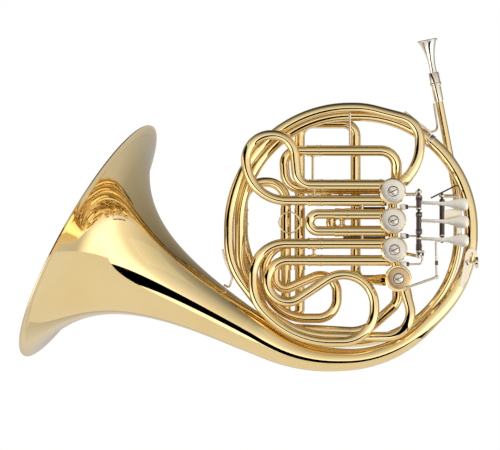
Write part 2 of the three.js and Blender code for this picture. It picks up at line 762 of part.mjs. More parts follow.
function slideSleeves(valve) {
  const own = Object.values(slides).filter((s) => s.valve === valve.n);
  const runs = own.flatMap((s) => [[s.upper, s.mouth, s.layer], [s.lower, s.mouth, s.layer]]);
  if (valve.n === 1) {
    runs.push([UPPER_RETURN_PX, UPPER_MOUTH_PX, MIDDLE_LAYER]);
  }
  return runs.map(([py, mouth, layer]) => sleeve(portStart(valve, py, layer), place(mouth, py, layer)));
}

const upperPortRoute = stations([
  [396.4, 180, UPPER_PORT_LAYER],
  [396.4, UPPER_LEG_PX, MIDDLE_LAYER, 16],
  [UPPER_SLEEVE_START_PX, UPPER_LEG_PX, MIDDLE_LAYER],
]);

function knuckles(valve, next) {
  const from = place(valve.x, valve.y, 0);
  const to = place(next.x, next.y, 0);
  return [F_LAYER, FLAT_LAYER].map((layer) => {
    const lift = new THREE.Vector3(0, layer, 0);
    return solid(rod(from.clone().add(lift), to.clone().add(lift), KNUCKLE_RADIUS, TUBE_SIDES));
  });
}

// A port that meets the end of a tube face to face and carries it into the casing
function port(route, atStart, radius) {
  const end = atStart ? route[0] : route[route.length - 1];
  const inward = end.tangent.clone().multiplyScalar(atStart ? -1 : 1);
  const mouth = end.point.clone().addScaledVector(inward, SEAT_GAP);
  return solid(turned(mouth, inward, [[0, radius + PORT_LIP], [PORT_LENGTH, radius + PORT_LIP]], TUBE_SIDES));
}

function ports(valve) {
  if (valve.n === 1) {
    return [port(ringTubeRoute, true, RING_TUBE_RADIUS)];
  }
  if (valve.n < valves.length) {
    return [];
  }
  return [
    port(ringTubeRoute, false, RING_TUBE_RADIUS),
    port(branchRoute, false, BRANCH_END_RADIUS),
    port(crownRoute, false, RING_TUBE_RADIUS),
  ];
}

function flange(valve, from) {
  return solid(drum(valve, from, from + CASING_FLANGE_DEPTH, CASING_FLANGE_RADIUS));
}

function makeCasing(valve) {
  let body = solid(drum(valve, -CASING_HALF_DEPTH, CASING_HALF_DEPTH, CASING_RADIUS));
  body = body.add(flange(valve, -CASING_HALF_DEPTH + CASING_FLANGE_DEPTH));
  slideSleeves(valve).forEach((s) => {
    body = body.add(solid(s));
  });
  if (valve.n === 1) {
    const mouth = place(UPPER_MOUTH_PX, UPPER_LEG_PX, MIDDLE_LAYER);
    body = body.add(solid(tube(upperPortRoute, constant(SLEEVE_RADIUS))));
    const start = place(UPPER_SLEEVE_START_PX, UPPER_LEG_PX, MIDDLE_LAYER);
    start.x += TUBE_WALL;
    body = body.add(solid(sleeve(start, mouth)));
  }
  ports(valve).forEach((p) => {
    body = body.add(p);
  });
  const next = valves[valve.n];
  if (next) {
    knuckles(valve, next).forEach((k) => {
      body = body.add(k);
    });
    const clearance = CASING_FLANGE_RADIUS + SEAT_GAP;
    body = body.subtract(solid(drum(next, -CASING_HALF_DEPTH * 2, CASING_HALF_DEPTH * 2, clearance)));
  }
  const cavity = drum(valve, -CASING_HALF_DEPTH + CASING_PLATE, CASING_HALF_DEPTH * 2, CASING_BORE_RADIUS);
  const stemHole = drum(valve, -CASING_HALF_DEPTH * 2, 0, STEM_RADIUS + RUNNING_CLEARANCE, TUBE_SIDES);
  body = body.subtract(solid(cavity)).subtract(solid(stemHole));
  return body;
}

valves.forEach((valve) => {
  add(`valve_casing_${valve.n}`, makeCasing(valve), 'lacquered_brass');
});

// Back caps, one screwed over the open back of each casing
function makeCap(valve) {
  const seat = CASING_HALF_DEPTH + SEAT_GAP;
  const profile = [
    [0, CAP_RADIUS],
    [CAP_DEPTH - DISC_EDGE_ROUND, CAP_RADIUS],
    [CAP_DEPTH, CAP_RADIUS - DISC_EDGE_ROUND],
    [CAP_DEPTH, CAP_KNOB_RADIUS],
    [CAP_DEPTH + CAP_KNOB_DEPTH, CAP_KNOB_RADIUS - DISC_EDGE_ROUND],
  ];
  return turned(place(valve.x, valve.y, seat), front, profile);
}

// Rotor: a plug with two curved passages at each level and a stem through the bearing plate
const ROTOR_BACK = CASING_HALF_DEPTH - SEAT_GAP;
const ROTOR_FRONT = -CASING_HALF_DEPTH + CASING_PLATE + SEAT_GAP;
const DISC_BACK = -CASING_HALF_DEPTH - DISC_LIFT;

function makeRotor(valve) {
  const start = place(valve.x, valve.y, DISC_BACK + SEAT_GAP);
  const neck = ROTOR_FRONT - DISC_BACK - SEAT_GAP;
  const length = ROTOR_BACK - DISC_BACK - SEAT_GAP;
  const radius = CASING_BORE_RADIUS - RUNNING_CLEARANCE;
  const profile = [[0, STEM_RADIUS], [neck, STEM_RADIUS], [neck, radius], [length, radius]];
  let body = solid(turned(start, front, profile));
  [F_LAYER, FLAT_LAYER].forEach((layer) => {
    [-1, 1].forEach((side) => {
      const middle = place(valve.x, valve.y, layer);
      const offset = ROTOR_PASSAGE_OFFSET * side * Math.SQRT1_2;
      middle.add(new THREE.Vector3(offset, 0, offset));
      const reach = new THREE.Vector3(CASING_RADIUS, 0, -CASING_RADIUS);
      const passage = rod(middle.clone().sub(reach), middle.clone().add(reach), ROTOR_PASSAGE_RADIUS);
      body = body.subtract(solid(passage));
    });
  });
  return body;
}

// Drive disc on the stem, with the crank pin that the link turns on its underside
const crankDirection = new THREE.Vector3(Math.SQRT1_2, 0, -Math.SQRT1_2);
const CRANK_PIN_LENGTH = 4.6;

function crankPoint(valve, depth) {
  return place(valve.x, valve.y, depth).addScaledVector(crankDirection, CRANK_RADIUS);
}

function makeDisc(valve) {
  const start = place(valve.x, valve.y, DISC_BACK - DISC_THICKNESS);
  const profile = [
    [0, valve.disc - DISC_EDGE_ROUND],
    [DISC_EDGE_ROUND, valve.disc],
    [DISC_THICKNESS, valve.disc],
  ];
  const disc = turned(start, front, profile);
  const pinEnd = crankPoint(valve, DISC_BACK + CRANK_PIN_LENGTH);
  return joined(disc, rod(crankPoint(valve, DISC_BACK - DISC_THICKNESS / 2), pinEnd, CRANK_PIN_RADIUS));
}

function makeScrew(valve) {
  const seat = DISC_BACK - DISC_THICKNESS - SEAT_GAP;
  const head = drum(valve, seat - SCREW_HEAD, seat, SCREW_RADIUS, CASING_SIDES);
  const centre = place(valve.x, valve.y, seat - SCREW_HEAD);
  const slot = new THREE.BoxGeometry(SCREW_RADIUS * 3, SLOT_DEPTH * 2, SLOT_WIDTH);
  slot.rotateY(-THREE.MathUtils.degToRad(SLOT_TILT_DEGREES));
  slot.translate(centre.x, centre.y, centre.z);
  return solid(head).subtract(solid(slot));
}

valves.forEach((valve) => {
  add(`back_cap_${valve.n}`, makeCap(valve), 'nickel_silver');
  add(`rotor_${valve.n}`, makeRotor(valve), 'nickel_silver');
  add(`drive_disc_${valve.n}`, makeDisc(valve), 'nickel_silver');
  add(`stem_screw_${valve.n}`, makeScrew(valve), 'silver_plate');
});

// Links: a fork under the drive disc, a riser, a block with its nut, and a rod to the lever's arm
const AXLE_PX = { x: 417.5, top: 189, bottom: 258 };
const CRANK_TRAVEL = CRANK_RADIUS * Math.SQRT2;
const FORK_PLATE = 2.4;
const FORK_PRONG = 1.8;
const FORK_BASE = 2;
const PIN_STEP = 0.6;

const levers = [
  { n: 1, stem: 202.7, tip: { x: 467, y: 204.9 }, hub: [195, 210.5], rodPx: 207, pinX: AXLE_PX.x },
  { n: 2, stem: 220.5, tip: { x: 467.4, y: 222.3 }, hub: [212, 235.2], rodPx: 236, pinX: AXLE_PX.x },
  { n: 3, stem: 238.3, tip: { x: 467.4, y: 240.8 }, hub: [236, 253.4], rodPx: 254, pinX: 422.2 },
];
const linkBlocks = [{ x: 402, y: 207 }, { x: 402.5, y: 236 }, { x: 403, y: 264 }];
const THUMB_PX = { x: 442, top: 196, bottom: 240, rod: 237.5 };
const THUMB_HUB_INSET_PX = 3;

function armPlane(rodPx) {
  return up(rodPx) + LINK_RADIUS + PIN_STEP + ARM_THICKNESS / 2;
}

function pinRod(x, rodPx) {
  const foot = new THREE.Vector3(across(x), LINK_LAYER, up(rodPx));
  const top = foot.clone();
  top.z = armPlane(rodPx) + ARM_THICKNESS;
  return rod(foot, top, LINK_PIN_RADIUS);
}

// The fork's prongs hold the crank pin at its middle and pass below the stem
function fork(valve, reachX) {
  const centreX = across(valve.x) + CRANK_RADIUS * Math.SQRT1_2;
  const gap = CRANK_PIN_RADIUS + EYE_CLEARANCE;
  const top = up(valve.y) - STEM_RADIUS - RUNNING_CLEARANCE;
  const floor = up(valve.y) - CRANK_RADIUS - CRANK_PIN_RADIUS - EYE_CLEARANCE;
  const prongs = [-1, 1].map((side) => {
    const x = centreX + side * (gap + FORK_PRONG / 2);
    const centre = new THREE.Vector3(x, LINK_LAYER, (top + floor - FORK_BASE / 2) / 2);
    return block(centre, FORK_PRONG, FORK_PLATE, top - floor + FORK_BASE / 2);
  });
  const left = centreX - gap - FORK_PRONG;
  const base = block(
    new THREE.Vector3((left + reachX) / 2, LINK_LAYER, floor - FORK_BASE / 2),
    reachX - left,
    FORK_PLATE,
    FORK_BASE,
  );
  return { parts: [...prongs, base], floor };
}

function fingerLink(lever) {
  const valve = valves[lever.n - 1];
  const centre = place(linkBlocks[lever.n - 1].x, linkBlocks[lever.n - 1].y, LINK_LAYER);
  const riserWidth = LINK_BLOCK / 2;
  const reachX = centre.x - LINK_BLOCK / 2 + riserWidth;
  const { parts, floor } = fork(valve, reachX);
  const riserX = reachX - riserWidth / 2;
  const riserHeight = floor - centre.z;
  const riserCentre = new THREE.Vector3(riserX, LINK_LAYER, centre.z + riserHeight / 2);
  const riser = block(riserCentre, riserWidth, FORK_PLATE, riserHeight);
  const nutStart = centre.clone();
  nutStart.x += LINK_BLOCK / 2 - PIN_STEP;
  const nutEnd = nutStart.clone();
  nutEnd.x += LINK_NUT_LENGTH + PIN_STEP;
  const rodRoute = stations([
    [linkBlocks[lever.n - 1].x, linkBlocks[lever.n - 1].y, LINK_LAYER],
    ...(lever.n === 3 ? [[lever.pinX - 1, linkBlocks[2].y, LINK_LAYER, 4]] : []),
    [lever.pinX, lever.rodPx, LINK_LAYER],
  ]);
  return joined(
    ...parts,
    riser,
    block(centre, LINK_BLOCK, LINK_BLOCK_DEPTH, LINK_BLOCK),
    rod(nutStart, nutEnd, LINK_NUT_RADIUS),
    tube(rodRoute, constant(LINK_RADIUS)),
    pinRod(lever.pinX, lever.rodPx),
    ball(place(lever.pinX, lever.rodPx, LINK_LAYER), LINK_RADIUS + PIN_STEP / 2),
  );
}

const THUMB_ROD_PX = { x: 435.2, y: 241 };
const THUMB_BALL_PX = { x: 435.8, y: 277 };
const CHANGE_ARM_PX = { x: 409, y: 285.6 };

function thumbLink() {
  const valve = valves[3];
  const end = place(CHANGE_ARM_PX.x, CHANGE_ARM_PX.y, LINK_LAYER);
  const { parts, floor } = fork(valve, end.x);
  const upright = tube(stations([
    [THUMB_PX.x, THUMB_PX.rod, LINK_LAYER],
    [THUMB_PX.x, THUMB_ROD_PX.y, LINK_LAYER, 1.4],
    [THUMB_ROD_PX.x, THUMB_ROD_PX.y, LINK_LAYER, 1.4],
    [THUMB_BALL_PX.x, THUMB_BALL_PX.y, LINK_LAYER],
  ]), constant(LINK_RADIUS));
  const armEnd = end.clone().setZ(floor - FORK_BASE / 2);
  const arm = rod(place(THUMB_BALL_PX.x, THUMB_BALL_PX.y, LINK_LAYER), armEnd, THUMB_ARM_RADIUS);
  return joined(
    ...parts,
    upright,
    arm,
    ball(place(THUMB_BALL_PX.x, THUMB_BALL_PX.y, LINK_LAYER), LINK_RADIUS * 2),
    pinRod(THUMB_PX.x, THUMB_PX.rod),
  );
}

// Levers: a hub on the axle, a stem that widens to its spoon, and an arm with a slot for the link's pin
const spoonShares = [
  [0, 0.29], [0.45, 0.29], [0.6, 0.44], [0.72, 0.72], [0.84, 0.97], [0.92, 1], [0.97, 0.85], [1, 0.5],
];

function spoonOutline(lever) {
  const from = new THREE.Vector2(across(AXLE_PX.x), up(lever.stem));
  const to = new THREE.Vector2(across(lever.tip.x), up(lever.tip.y));
  const along = to.clone().sub(from);
  const square = new THREE.Vector2(-along.y, along.x).normalize();
  const edge = (side) => spoonShares.map(([share, width]) => {
    const p = from.clone().addScaledVector(along, share);
    p.addScaledVector(square, side * width * PADDLE_HALF_WIDTH);
    return { x: p.x, z: p.y };
  });
  return [...edge(-1), ...edge(1).reverse()];
}

function hubTube(x, span, layer, radius) {
  return rod(place(x, span[1], layer), place(x, span[0], layer), radius, SMALL_SIDES);
}

function armPlate(hubX, pinX, layer, rodPx) {
  const facing = Math.sign(LINK_LAYER - layer);
  const half = ARM_HALF_WIDTH;
  const reach = Math.abs(LINK_LAYER - layer) + LINK_PIN_RADIUS + EYE_CLEARANCE * 2 + ARM_HALF_WIDTH;
  const offset = across(pinX) - across(hubX);
  const shape = new THREE.Shape([
    new THREE.Vector2(-HUB_RADIUS, 0),
    new THREE.Vector2(HUB_RADIUS, 0),
    new THREE.Vector2(offset + half, reach - LINK_BLOCK),
    new THREE.Vector2(offset + half, reach),
    new THREE.Vector2(offset - half, reach),
    new THREE.Vector2(offset - half, reach - LINK_BLOCK),
  ]);
  const geometry = new THREE.ExtrudeGeometry(shape, { depth: ARM_THICKNESS, bevelEnabled: false });
  if (facing < 0) {
    geometry.rotateX(Math.PI);
    geometry.translate(0, 0, ARM_THICKNESS);
  }
  geometry.translate(across(hubX), layer, armPlane(rodPx) - ARM_THICKNESS / 2);
  return solid(geometry);
}

function armSlot(pinX, layer, rodPx) {
  const facing = Math.sign(LINK_LAYER - layer);
  const length = (LINK_PIN_RADIUS + EYE_CLEARANCE) * 2 + CRANK_RADIUS / 4;
  const centre = place(pinX, rodPx, LINK_LAYER + facing * EYE_CLEARANCE);
  centre.z = armPlane(rodPx);
  return solid(block(centre, (LINK_PIN_RADIUS + EYE_CLEARANCE) * 2, length, ARM_THICKNESS * 3));
}

function axleBore(x, layer) {
  const bore = AXLE_RADIUS + RUNNING_CLEARANCE;
  const low = place(x, AXLE_PX.bottom + LINK_BLOCK, layer);
  const high = place(x, AXLE_PX.top - LINK_BLOCK, layer);
  return solid(rod(low, high, bore, SMALL_SIDES));
}

function makeLever(lever) {
  const near = LEVER_LAYER - PADDLE_THICKNESS / 2;
  let body = solid(plate(spoonOutline(lever), near, near + PADDLE_THICKNESS));
  body = body.add(solid(hubTube(AXLE_PX.x, lever.hub, LEVER_LAYER, HUB_RADIUS)));
  body = body.add(armPlate(AXLE_PX.x, lever.pinX, LEVER_LAYER, lever.rodPx));
  body = body.subtract(armSlot(lever.pinX, LEVER_LAYER, lever.rodPx));
  return body.subtract(axleBore(AXLE_PX.x, LEVER_LAYER));
}

const THUMB_PAD_PX = { left: 456.5, right: 461.5, top: 209, bottom: 234 };

function makeThumbLever() {
  const half = PADDLE_THICKNESS / 2;
  const padOutline = [
    { x: across(THUMB_PX.x), z: up(212) },
    { x: across(THUMB_PX.x), z: up(220) },
    { x: across(THUMB_PAD_PX.left), z: up(222) },
    { x: across(THUMB_PAD_PX.left), z: up(THUMB_PAD_PX.bottom) },
    { x: across(THUMB_PAD_PX.right), z: up(THUMB_PAD_PX.bottom) },
    { x: across(THUMB_PAD_PX.right), z: up(THUMB_PAD_PX.top) },
  ];
  let body = solid(plate(padOutline.reverse(), THUMB_LAYER - half, THUMB_LAYER + half));
  const hub = [THUMB_PX.top + THUMB_HUB_INSET_PX, THUMB_PX.bottom - THUMB_HUB_INSET_PX];
  body = body.add(solid(hubTube(THUMB_PX.x, hub, THUMB_LAYER, HUB_RADIUS)));
  body = body.add(armPlate(THUMB_PX.x, THUMB_PX.x, THUMB_LAYER, THUMB_PX.rod));
  body = body.subtract(armSlot(THUMB_PX.x, THUMB_LAYER, THUMB_PX.rod));
  return body.subtract(axleBore(THUMB_PX.x, THUMB_LAYER));
}

levers.forEach((lever) => {
  add(`lever_${lever.n}`, makeLever(lever), 'nickel_silver');
  add(`link_${lever.n}`, fingerLink(lever), 'nickel_silver');
});
add('thumb_lever', makeThumbLever(), 'nickel_silver');
add('link_4', thumbLink(), 'nickel_silver');

// Pull ring in the lug
function makePullRing() {
  const around = SMALL_SIDES * 3;
  const geometry = new THREE.TorusGeometry(PULL_RING_RADIUS, PULL_WIRE_RADIUS, SMALL_SIDES - 2, around);
  geometry.rotateX(Math.PI / 2);
  const eye = place(PULL_EYE_PX.x, PULL_EYE_PX.y, F_LAYER);
  geometry.translate(eye.x - PULL_RING_RADIUS, eye.y, eye.z);
  return solid(geometry);
}

add('pull_ring', makePullRing(), 'silver_plate');

// Lever axle, held at each end in the eye of a bracket that stands on a casing
const EYE_HEIGHT = 3;
const EYE_WALL = 2;
const BRACKET_WIDTH = 4;
const BRACKET_DEPTH = -14;

function makeAxle(x, top, bottom, layer) {
  return rod(place(x, bottom, layer), place(x, top, layer), AXLE_RADIUS);
}

function eyeOn(x, py, layer) {
  const middle = place(x, py, layer);
  const low = middle.clone().setZ(middle.z - EYE_HEIGHT / 2);
  const high = middle.clone().setZ(middle.z + EYE_HEIGHT / 2);
  return solid(rod(low, high, AXLE_RADIUS + EYE_WALL));
}

function makeBracket(footPx, eyePx) {
  const foot = place(footPx.x, footPx.y, BRACKET_DEPTH);
  const corner = place(footPx.corner, footPx.y, BRACKET_DEPTH);
  const eye = place(AXLE_PX.x, eyePx, LEVER_LAYER);
  let body = solid(rod(foot, corner, BRACKET_WIDTH / 2));
  body = body.add(solid(rod(corner, eye, BRACKET_WIDTH / 2))).add(solid(ball(corner, BRACKET_WIDTH / 2)));
  body = body.add(eyeOn(AXLE_PX.x, eyePx, LEVER_LAYER));
  const bore = AXLE_RADIUS + SEAT_GAP;
  const axisLow = place(AXLE_PX.x, eyePx + LINK_BLOCK, LEVER_LAYER);
  const axis = [axisLow, place(AXLE_PX.x, eyePx - LINK_BLOCK, LEVER_LAYER)];
  return body.subtract(solid(rod(axis[0], axis[1], bore)));
}

function seatedOnCasing(body, valve) {
  const reach = CASING_HALF_DEPTH * 2;
  const keep = drum(valve, -reach, reach, CASING_RADIUS + SEAT_GAP, CASING_SIDES);
  return body.subtract(solid(keep));
}

add('lever_axle', makeAxle(AXLE_PX.x, AXLE_PX.top, AXLE_PX.bottom, LEVER_LAYER), 'dark_steel');
const upperBracket = makeBracket({ x: 399, corner: 414.5, y: 194.5 }, 192);
add('axle_bracket_upper', seatedOnCasing(upperBracket, valves[0]), 'nickel_silver');
const lowerBracket = makeBracket({ x: 400, corner: 407.2, y: 254 }, 256);
add('axle_bracket_lower', seatedOnCasing(lowerBracket, valves[2]), 'nickel_silver');

// Thumb lever's axle, in a bracket that stands on the leadpipe
const THUMB_STRAP_PX = 457;
const STRAP_OVERHANG_PX = 2;
const AXLE_OVERHANG_PX = 3;

function makeThumbBracket() {
  const strap = BACK_LAYER - LEADPIPE_END_RADIUS - EYE_WALL * 2;
  const x = THUMB_STRAP_PX;
  const tops = [THUMB_PX.top, THUMB_PX.bottom];
  const strapTop = place(x, tops[0] - STRAP_OVERHANG_PX, strap);
  const strapEnd = place(x, tops[1] + STRAP_OVERHANG_PX, strap);
  let body = solid(rod(strapTop, strapEnd, BRACKET_WIDTH / 2));
  tops.forEach((py) => {
    body = body.add(solid(rod(place(x, py, strap), place(THUMB_PX.x, py, THUMB_LAYER), BRACKET_WIDTH / 2)));
    body = body.add(eyeOn(THUMB_PX.x, py, THUMB_LAYER));
    const axisLow = place(THUMB_PX.x, py + LINK_BLOCK, THUMB_LAYER);
    const axis = [axisLow, place(THUMB_PX.x, py - LINK_BLOCK, THUMB_LAYER)];
    body = body.subtract(solid(rod(axis[0], axis[1], AXLE_RADIUS + SEAT_GAP)));
  });
  return body;
}

const thumbAxlePx = [THUMB_PX.top - AXLE_OVERHANG_PX, THUMB_PX.bottom + AXLE_OVERHANG_PX];
add('thumb_axle', makeAxle(THUMB_PX.x, thumbAxlePx[0], thumbAxlePx[1], THUMB_LAYER), 'dark_steel');
add('thumb_bracket', makeThumbBracket(), 'nickel_silver');

// Braces: bent wires from the ring to the bell and to the leadpipe, and a rod under the ring's top
const WIRE_RADIUS = 1.2;

function makeWire(corners) {
  return tube(stations(corners), constant(WIRE_RADIUS), 0, 0, TUBE_WALL, SMALL_SIDES - 2);
}

add('bell_brace', makeWire([
  [222.6, 249, MIDDLE_LAYER],
  [225.4, 261, MIDDLE_LAYER, 20],
  [232.4, 277, MIDDLE_LAYER + 4, 4],
  [229.4, 288, MIDDLE_LAYER + 10, 3],
  [224, 285, MIDDLE_LAYER + 12.8],
]), 'nickel_silver');
add('leadpipe_brace', makeWire([
  [405, 111.8, MIDDLE_LAYER],
  [431, 132.5, MIDDLE_LAYER + 8, 4],
  [438.6, 129, BACK_LAYER - 4, 2.5],
  [434.6, 103, BACK_LAYER],
]), 'nickel_silver');

function makeRingRod() {
  const top = place(350, 107.5, MIDDLE_LAYER);
  top.z -= RING_TUBE_RADIUS + SEAT_GAP * 2;
  const foot = place(350, UPPER_LEG_PX, MIDDLE_LAYER);
  foot.z += SLEEVE_RADIUS + SEAT_GAP;
  const length = top.z - foot.z;
  const profile = [
    [0, BRACE_FOOT_RADIUS],
    [BRACE_FOOT_THICKNESS, BRACE_FOOT_RADIUS],
    [BRACE_FOOT_THICKNESS, BRACE_RADIUS],
    [length - BALL_RADIUS * 2, BRACE_RADIUS],
    [length - BALL_RADIUS, BALL_RADIUS],
    [length - BRACE_FOOT_THICKNESS, BRACE_RADIUS],
    [length - BRACE_FOOT_THICKNESS, BRACE_FOOT_RADIUS],
    [length, BRACE_FOOT_RADIUS],
  ];
  return turned(foot, new THREE.Vector3(0, 0, 1), profile, SMALL_SIDES);
}

add('ring_rod_brace', makeRingRod(), 'nickel_silver');

// Finger hook on the outer tube, with its thumbscrew
const HOOK_LAYER = -2.9;
const hookPx = [
  [459, 286], [461.5, 274], [463.5, 264], [465, 254], [468, 249], [473, 247.5], [477, 251], [477.2, 257],
  [474.6, 259.5], [474, 255.5], [472.4, 252.6], [470, 253.4], [469.2, 258],
  [471, 265], [468.6, 277], [463.4, 288],
];
const SCREW_PX = { y: 262.4, boss: 467.6, bore: 463, start: 465, knob: 474.8 };
const SCREW_SHANK_RADIUS = 1.6;
const BOSS_HALF = 3.2;
const SCREW_STAND = 5;

function makeHook() {
  const outline = hookPx.map(([x, y]) => ({ x: across(x), z: up(y) })).reverse();
  let body = solid(plate(outline, HOOK_LAYER, HOOK_LAYER + HOOK_THICKNESS));
  const boss = place(SCREW_PX.boss, SCREW_PX.y, HOOK_LAYER - SCREW_STAND / 2);
  body = body.add(solid(block(boss, BOSS_HALF, SCREW_STAND + HOOK_THICKNESS + BOSS_HALF, BOSS_HALF * 2)));
  const from = place(SCREW_PX.bore, SCREW_PX.y, HOOK_LAYER - SCREW_STAND);
  const to = place(SCREW_PX.knob, SCREW_PX.y, HOOK_LAYER - SCREW_STAND);
  return body.subtract(solid(rod(from, to, SCREW_SHANK_RADIUS + RUNNING_CLEARANCE)));
}

function makeThumbscrew() {
  const from = place(SCREW_PX.start, SCREW_PX.y, HOOK_LAYER - SCREW_STAND);
  const shank = (SCREW_PX.knob - SCREW_PX.start) * MM_PER_PIXEL;
  const profile = [
    [0, SCREW_SHANK_RADIUS],
    [shank, SCREW_SHANK_RADIUS],
    [shank, KNOB_RADIUS - DISC_EDGE_ROUND],
    [shank + DISC_EDGE_ROUND, KNOB_RADIUS],
    [shank + KNOB_THICKNESS, KNOB_RADIUS],
    [shank + KNOB_THICKNESS + DISC_EDGE_ROUND, KNOB_RADIUS - DISC_EDGE_ROUND],
  ];
  return turned(from, new THREE.Vector3(1, 0, 0), profile, CASING_SIDES);
}

add('finger_hook', makeHook(), 'nickel_silver');
add('thumbscrew', makeThumbscrew(), 'nickel_silver');
export default horn;
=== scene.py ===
# %% [markdown]
# # A double french horn
# The horn is a long conical tube, coiled into a ring, with a second set of slides beside the first.
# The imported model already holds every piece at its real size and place. This lesson gives the pieces
# their finished shapes and their polish: lacquered brass, nickel silver and a silver mouthpiece.

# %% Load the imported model
import bpy
import math
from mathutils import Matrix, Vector


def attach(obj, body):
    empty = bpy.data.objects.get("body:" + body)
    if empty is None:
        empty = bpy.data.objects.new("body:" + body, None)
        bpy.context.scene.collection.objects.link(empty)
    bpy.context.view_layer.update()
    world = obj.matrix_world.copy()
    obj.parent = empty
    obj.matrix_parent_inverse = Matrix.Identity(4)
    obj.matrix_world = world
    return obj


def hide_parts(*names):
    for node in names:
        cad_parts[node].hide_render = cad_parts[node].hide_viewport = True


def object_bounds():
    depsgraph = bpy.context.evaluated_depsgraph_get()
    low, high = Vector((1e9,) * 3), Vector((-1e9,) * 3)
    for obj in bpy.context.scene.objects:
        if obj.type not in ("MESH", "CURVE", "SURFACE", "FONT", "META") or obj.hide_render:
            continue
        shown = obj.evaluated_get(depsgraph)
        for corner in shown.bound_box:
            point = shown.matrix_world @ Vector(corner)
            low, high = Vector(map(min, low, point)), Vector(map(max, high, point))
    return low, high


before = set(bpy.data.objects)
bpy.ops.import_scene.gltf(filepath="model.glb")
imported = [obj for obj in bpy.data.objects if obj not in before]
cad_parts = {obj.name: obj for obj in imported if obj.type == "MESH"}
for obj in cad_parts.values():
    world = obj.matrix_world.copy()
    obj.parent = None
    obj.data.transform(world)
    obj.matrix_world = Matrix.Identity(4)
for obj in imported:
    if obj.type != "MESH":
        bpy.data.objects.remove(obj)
cad_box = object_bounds()

# %% [markdown]
# ## Places
# The construction reads its places from the photograph: a column, a row and a depth in millimetres. The
# same rule is repeated here, in metres, so that each new piece lies exactly where its plain one does.
# The ring of tubing is 300 mm across, which gives the size of one pixel. Names that end in PX are
# columns, rows or lengths in pixels, names of layers are depths, and all other lengths are in metres.

# %% Turn a pixel and a depth into a place
RING_DIAMETER = 0.300
RING_LEFT_PX = 223
RING_RIGHT_PX = 478.5
PIXEL = RING_DIAMETER / (RING_RIGHT_PX - RING_LEFT_PX)
HAND_PX = (471.5, 238)
MM = 0.001


def place(px, py, depth=0.0):
    """The point in metres that a column, a row and a depth name, seen from the left hand's place."""
    return Vector(((px - HAND_PX[0]) * PIXEL, depth * MM, (HAND_PX[1] - py) * PIXEL))


print("one pixel is", round(PIXEL / MM, 4), "mm")

# %% [markdown]
# ## Camera
# The photograph looks straight at the valves from far away, so a long lens stands eight metres off.
# Its sensor width and distance give a view exactly 500 pixels wide at the valves.

# %% Set the camera
PHOTO_WIDTH = 500
PHOTO_HEIGHT = 450
CAMERA_DISTANCE = 8.0
CAMERA_REACH = 100
SENSOR = 36.0

view_centre = place(PHOTO_WIDTH / 2, PHOTO_HEIGHT / 2)
bpy.ops.object.camera_add(
    location=view_centre - Vector((0, CAMERA_DISTANCE, 0)), rotation=(math.pi / 2, 0, 0))
camera = bpy.context.object
camera.name = "camera"
camera.data.sensor_width = SENSOR
camera.data.lens = SENSOR * CAMERA_DISTANCE / (PHOTO_WIDTH * PIXEL)
camera.data.clip_end = CAMERA_REACH
bpy.context.scene.camera = camera
bpy.context.scene.view_settings.view_transform = "Standard"
print("lens", round(camera.data.lens), "mm")

# %% [markdown]
# ## A white studio
# Polished metal shows what stands round it, so the studio matters more than the lamps. The camera sees
# a white world. The metal sees a tent instead, with bright low walls, a dim ceiling, a dimmer wall
# behind the horn and one dark slot that runs aslant beside the lens. The slot draws the thin black line
# that runs along every tube.

# %% Build the tent
WHITE = (1, 1, 1, 1)


def node(tree, kind, **values):
    made = tree.nodes.new(kind)
    for key, value in values.items():
        setattr(made, key, value)
    return made


def math_node(tree, operation, first, second=None):
    made = node(tree, "ShaderNodeMath", operation=operation)
    for socket, value in zip(made.inputs, (first, second)):
        if isinstance(value, (int, float)):
            socket.default_value = value
        elif value is not None:
            tree.links.new(value, socket)
    return made.outputs[0]


def ramp(tree, source, stops):
    made = node(tree, "ShaderNodeValToRGB")
    while len(made.color_ramp.elements) < len(stops):
        made.color_ramp.elements.new(0.5)
    for element, (position, colour) in zip(made.color_ramp.elements, stops):
        element.position = position
        element.color = (*colour, 1)
    tree.links.new(source, made.inputs[0])
    return made.outputs[0]


def grey(level):
    return (level, level, level)


def half_range(tree, value, factor=0.5):
    """Bring a value that runs from -1 to 1 into the range 0 to 1."""
    result = math_node(tree, "MULTIPLY_ADD", value, factor)
    result.node.inputs[2].default_value = 0.5
    return result


def mix(tree, factor, first, second, blend="MIX"):
    made = node(tree, "ShaderNodeMix", data_type="RGBA", blend_type=blend)
    for socket, value in (("Factor", factor), ("A", first), ("B", second)):
        if isinstance(value, bpy.types.NodeSocket):
            tree.links.new(value, made.inputs[socket])
        else:
            made.inputs[socket].default_value = value
    return made.outputs["Result"]


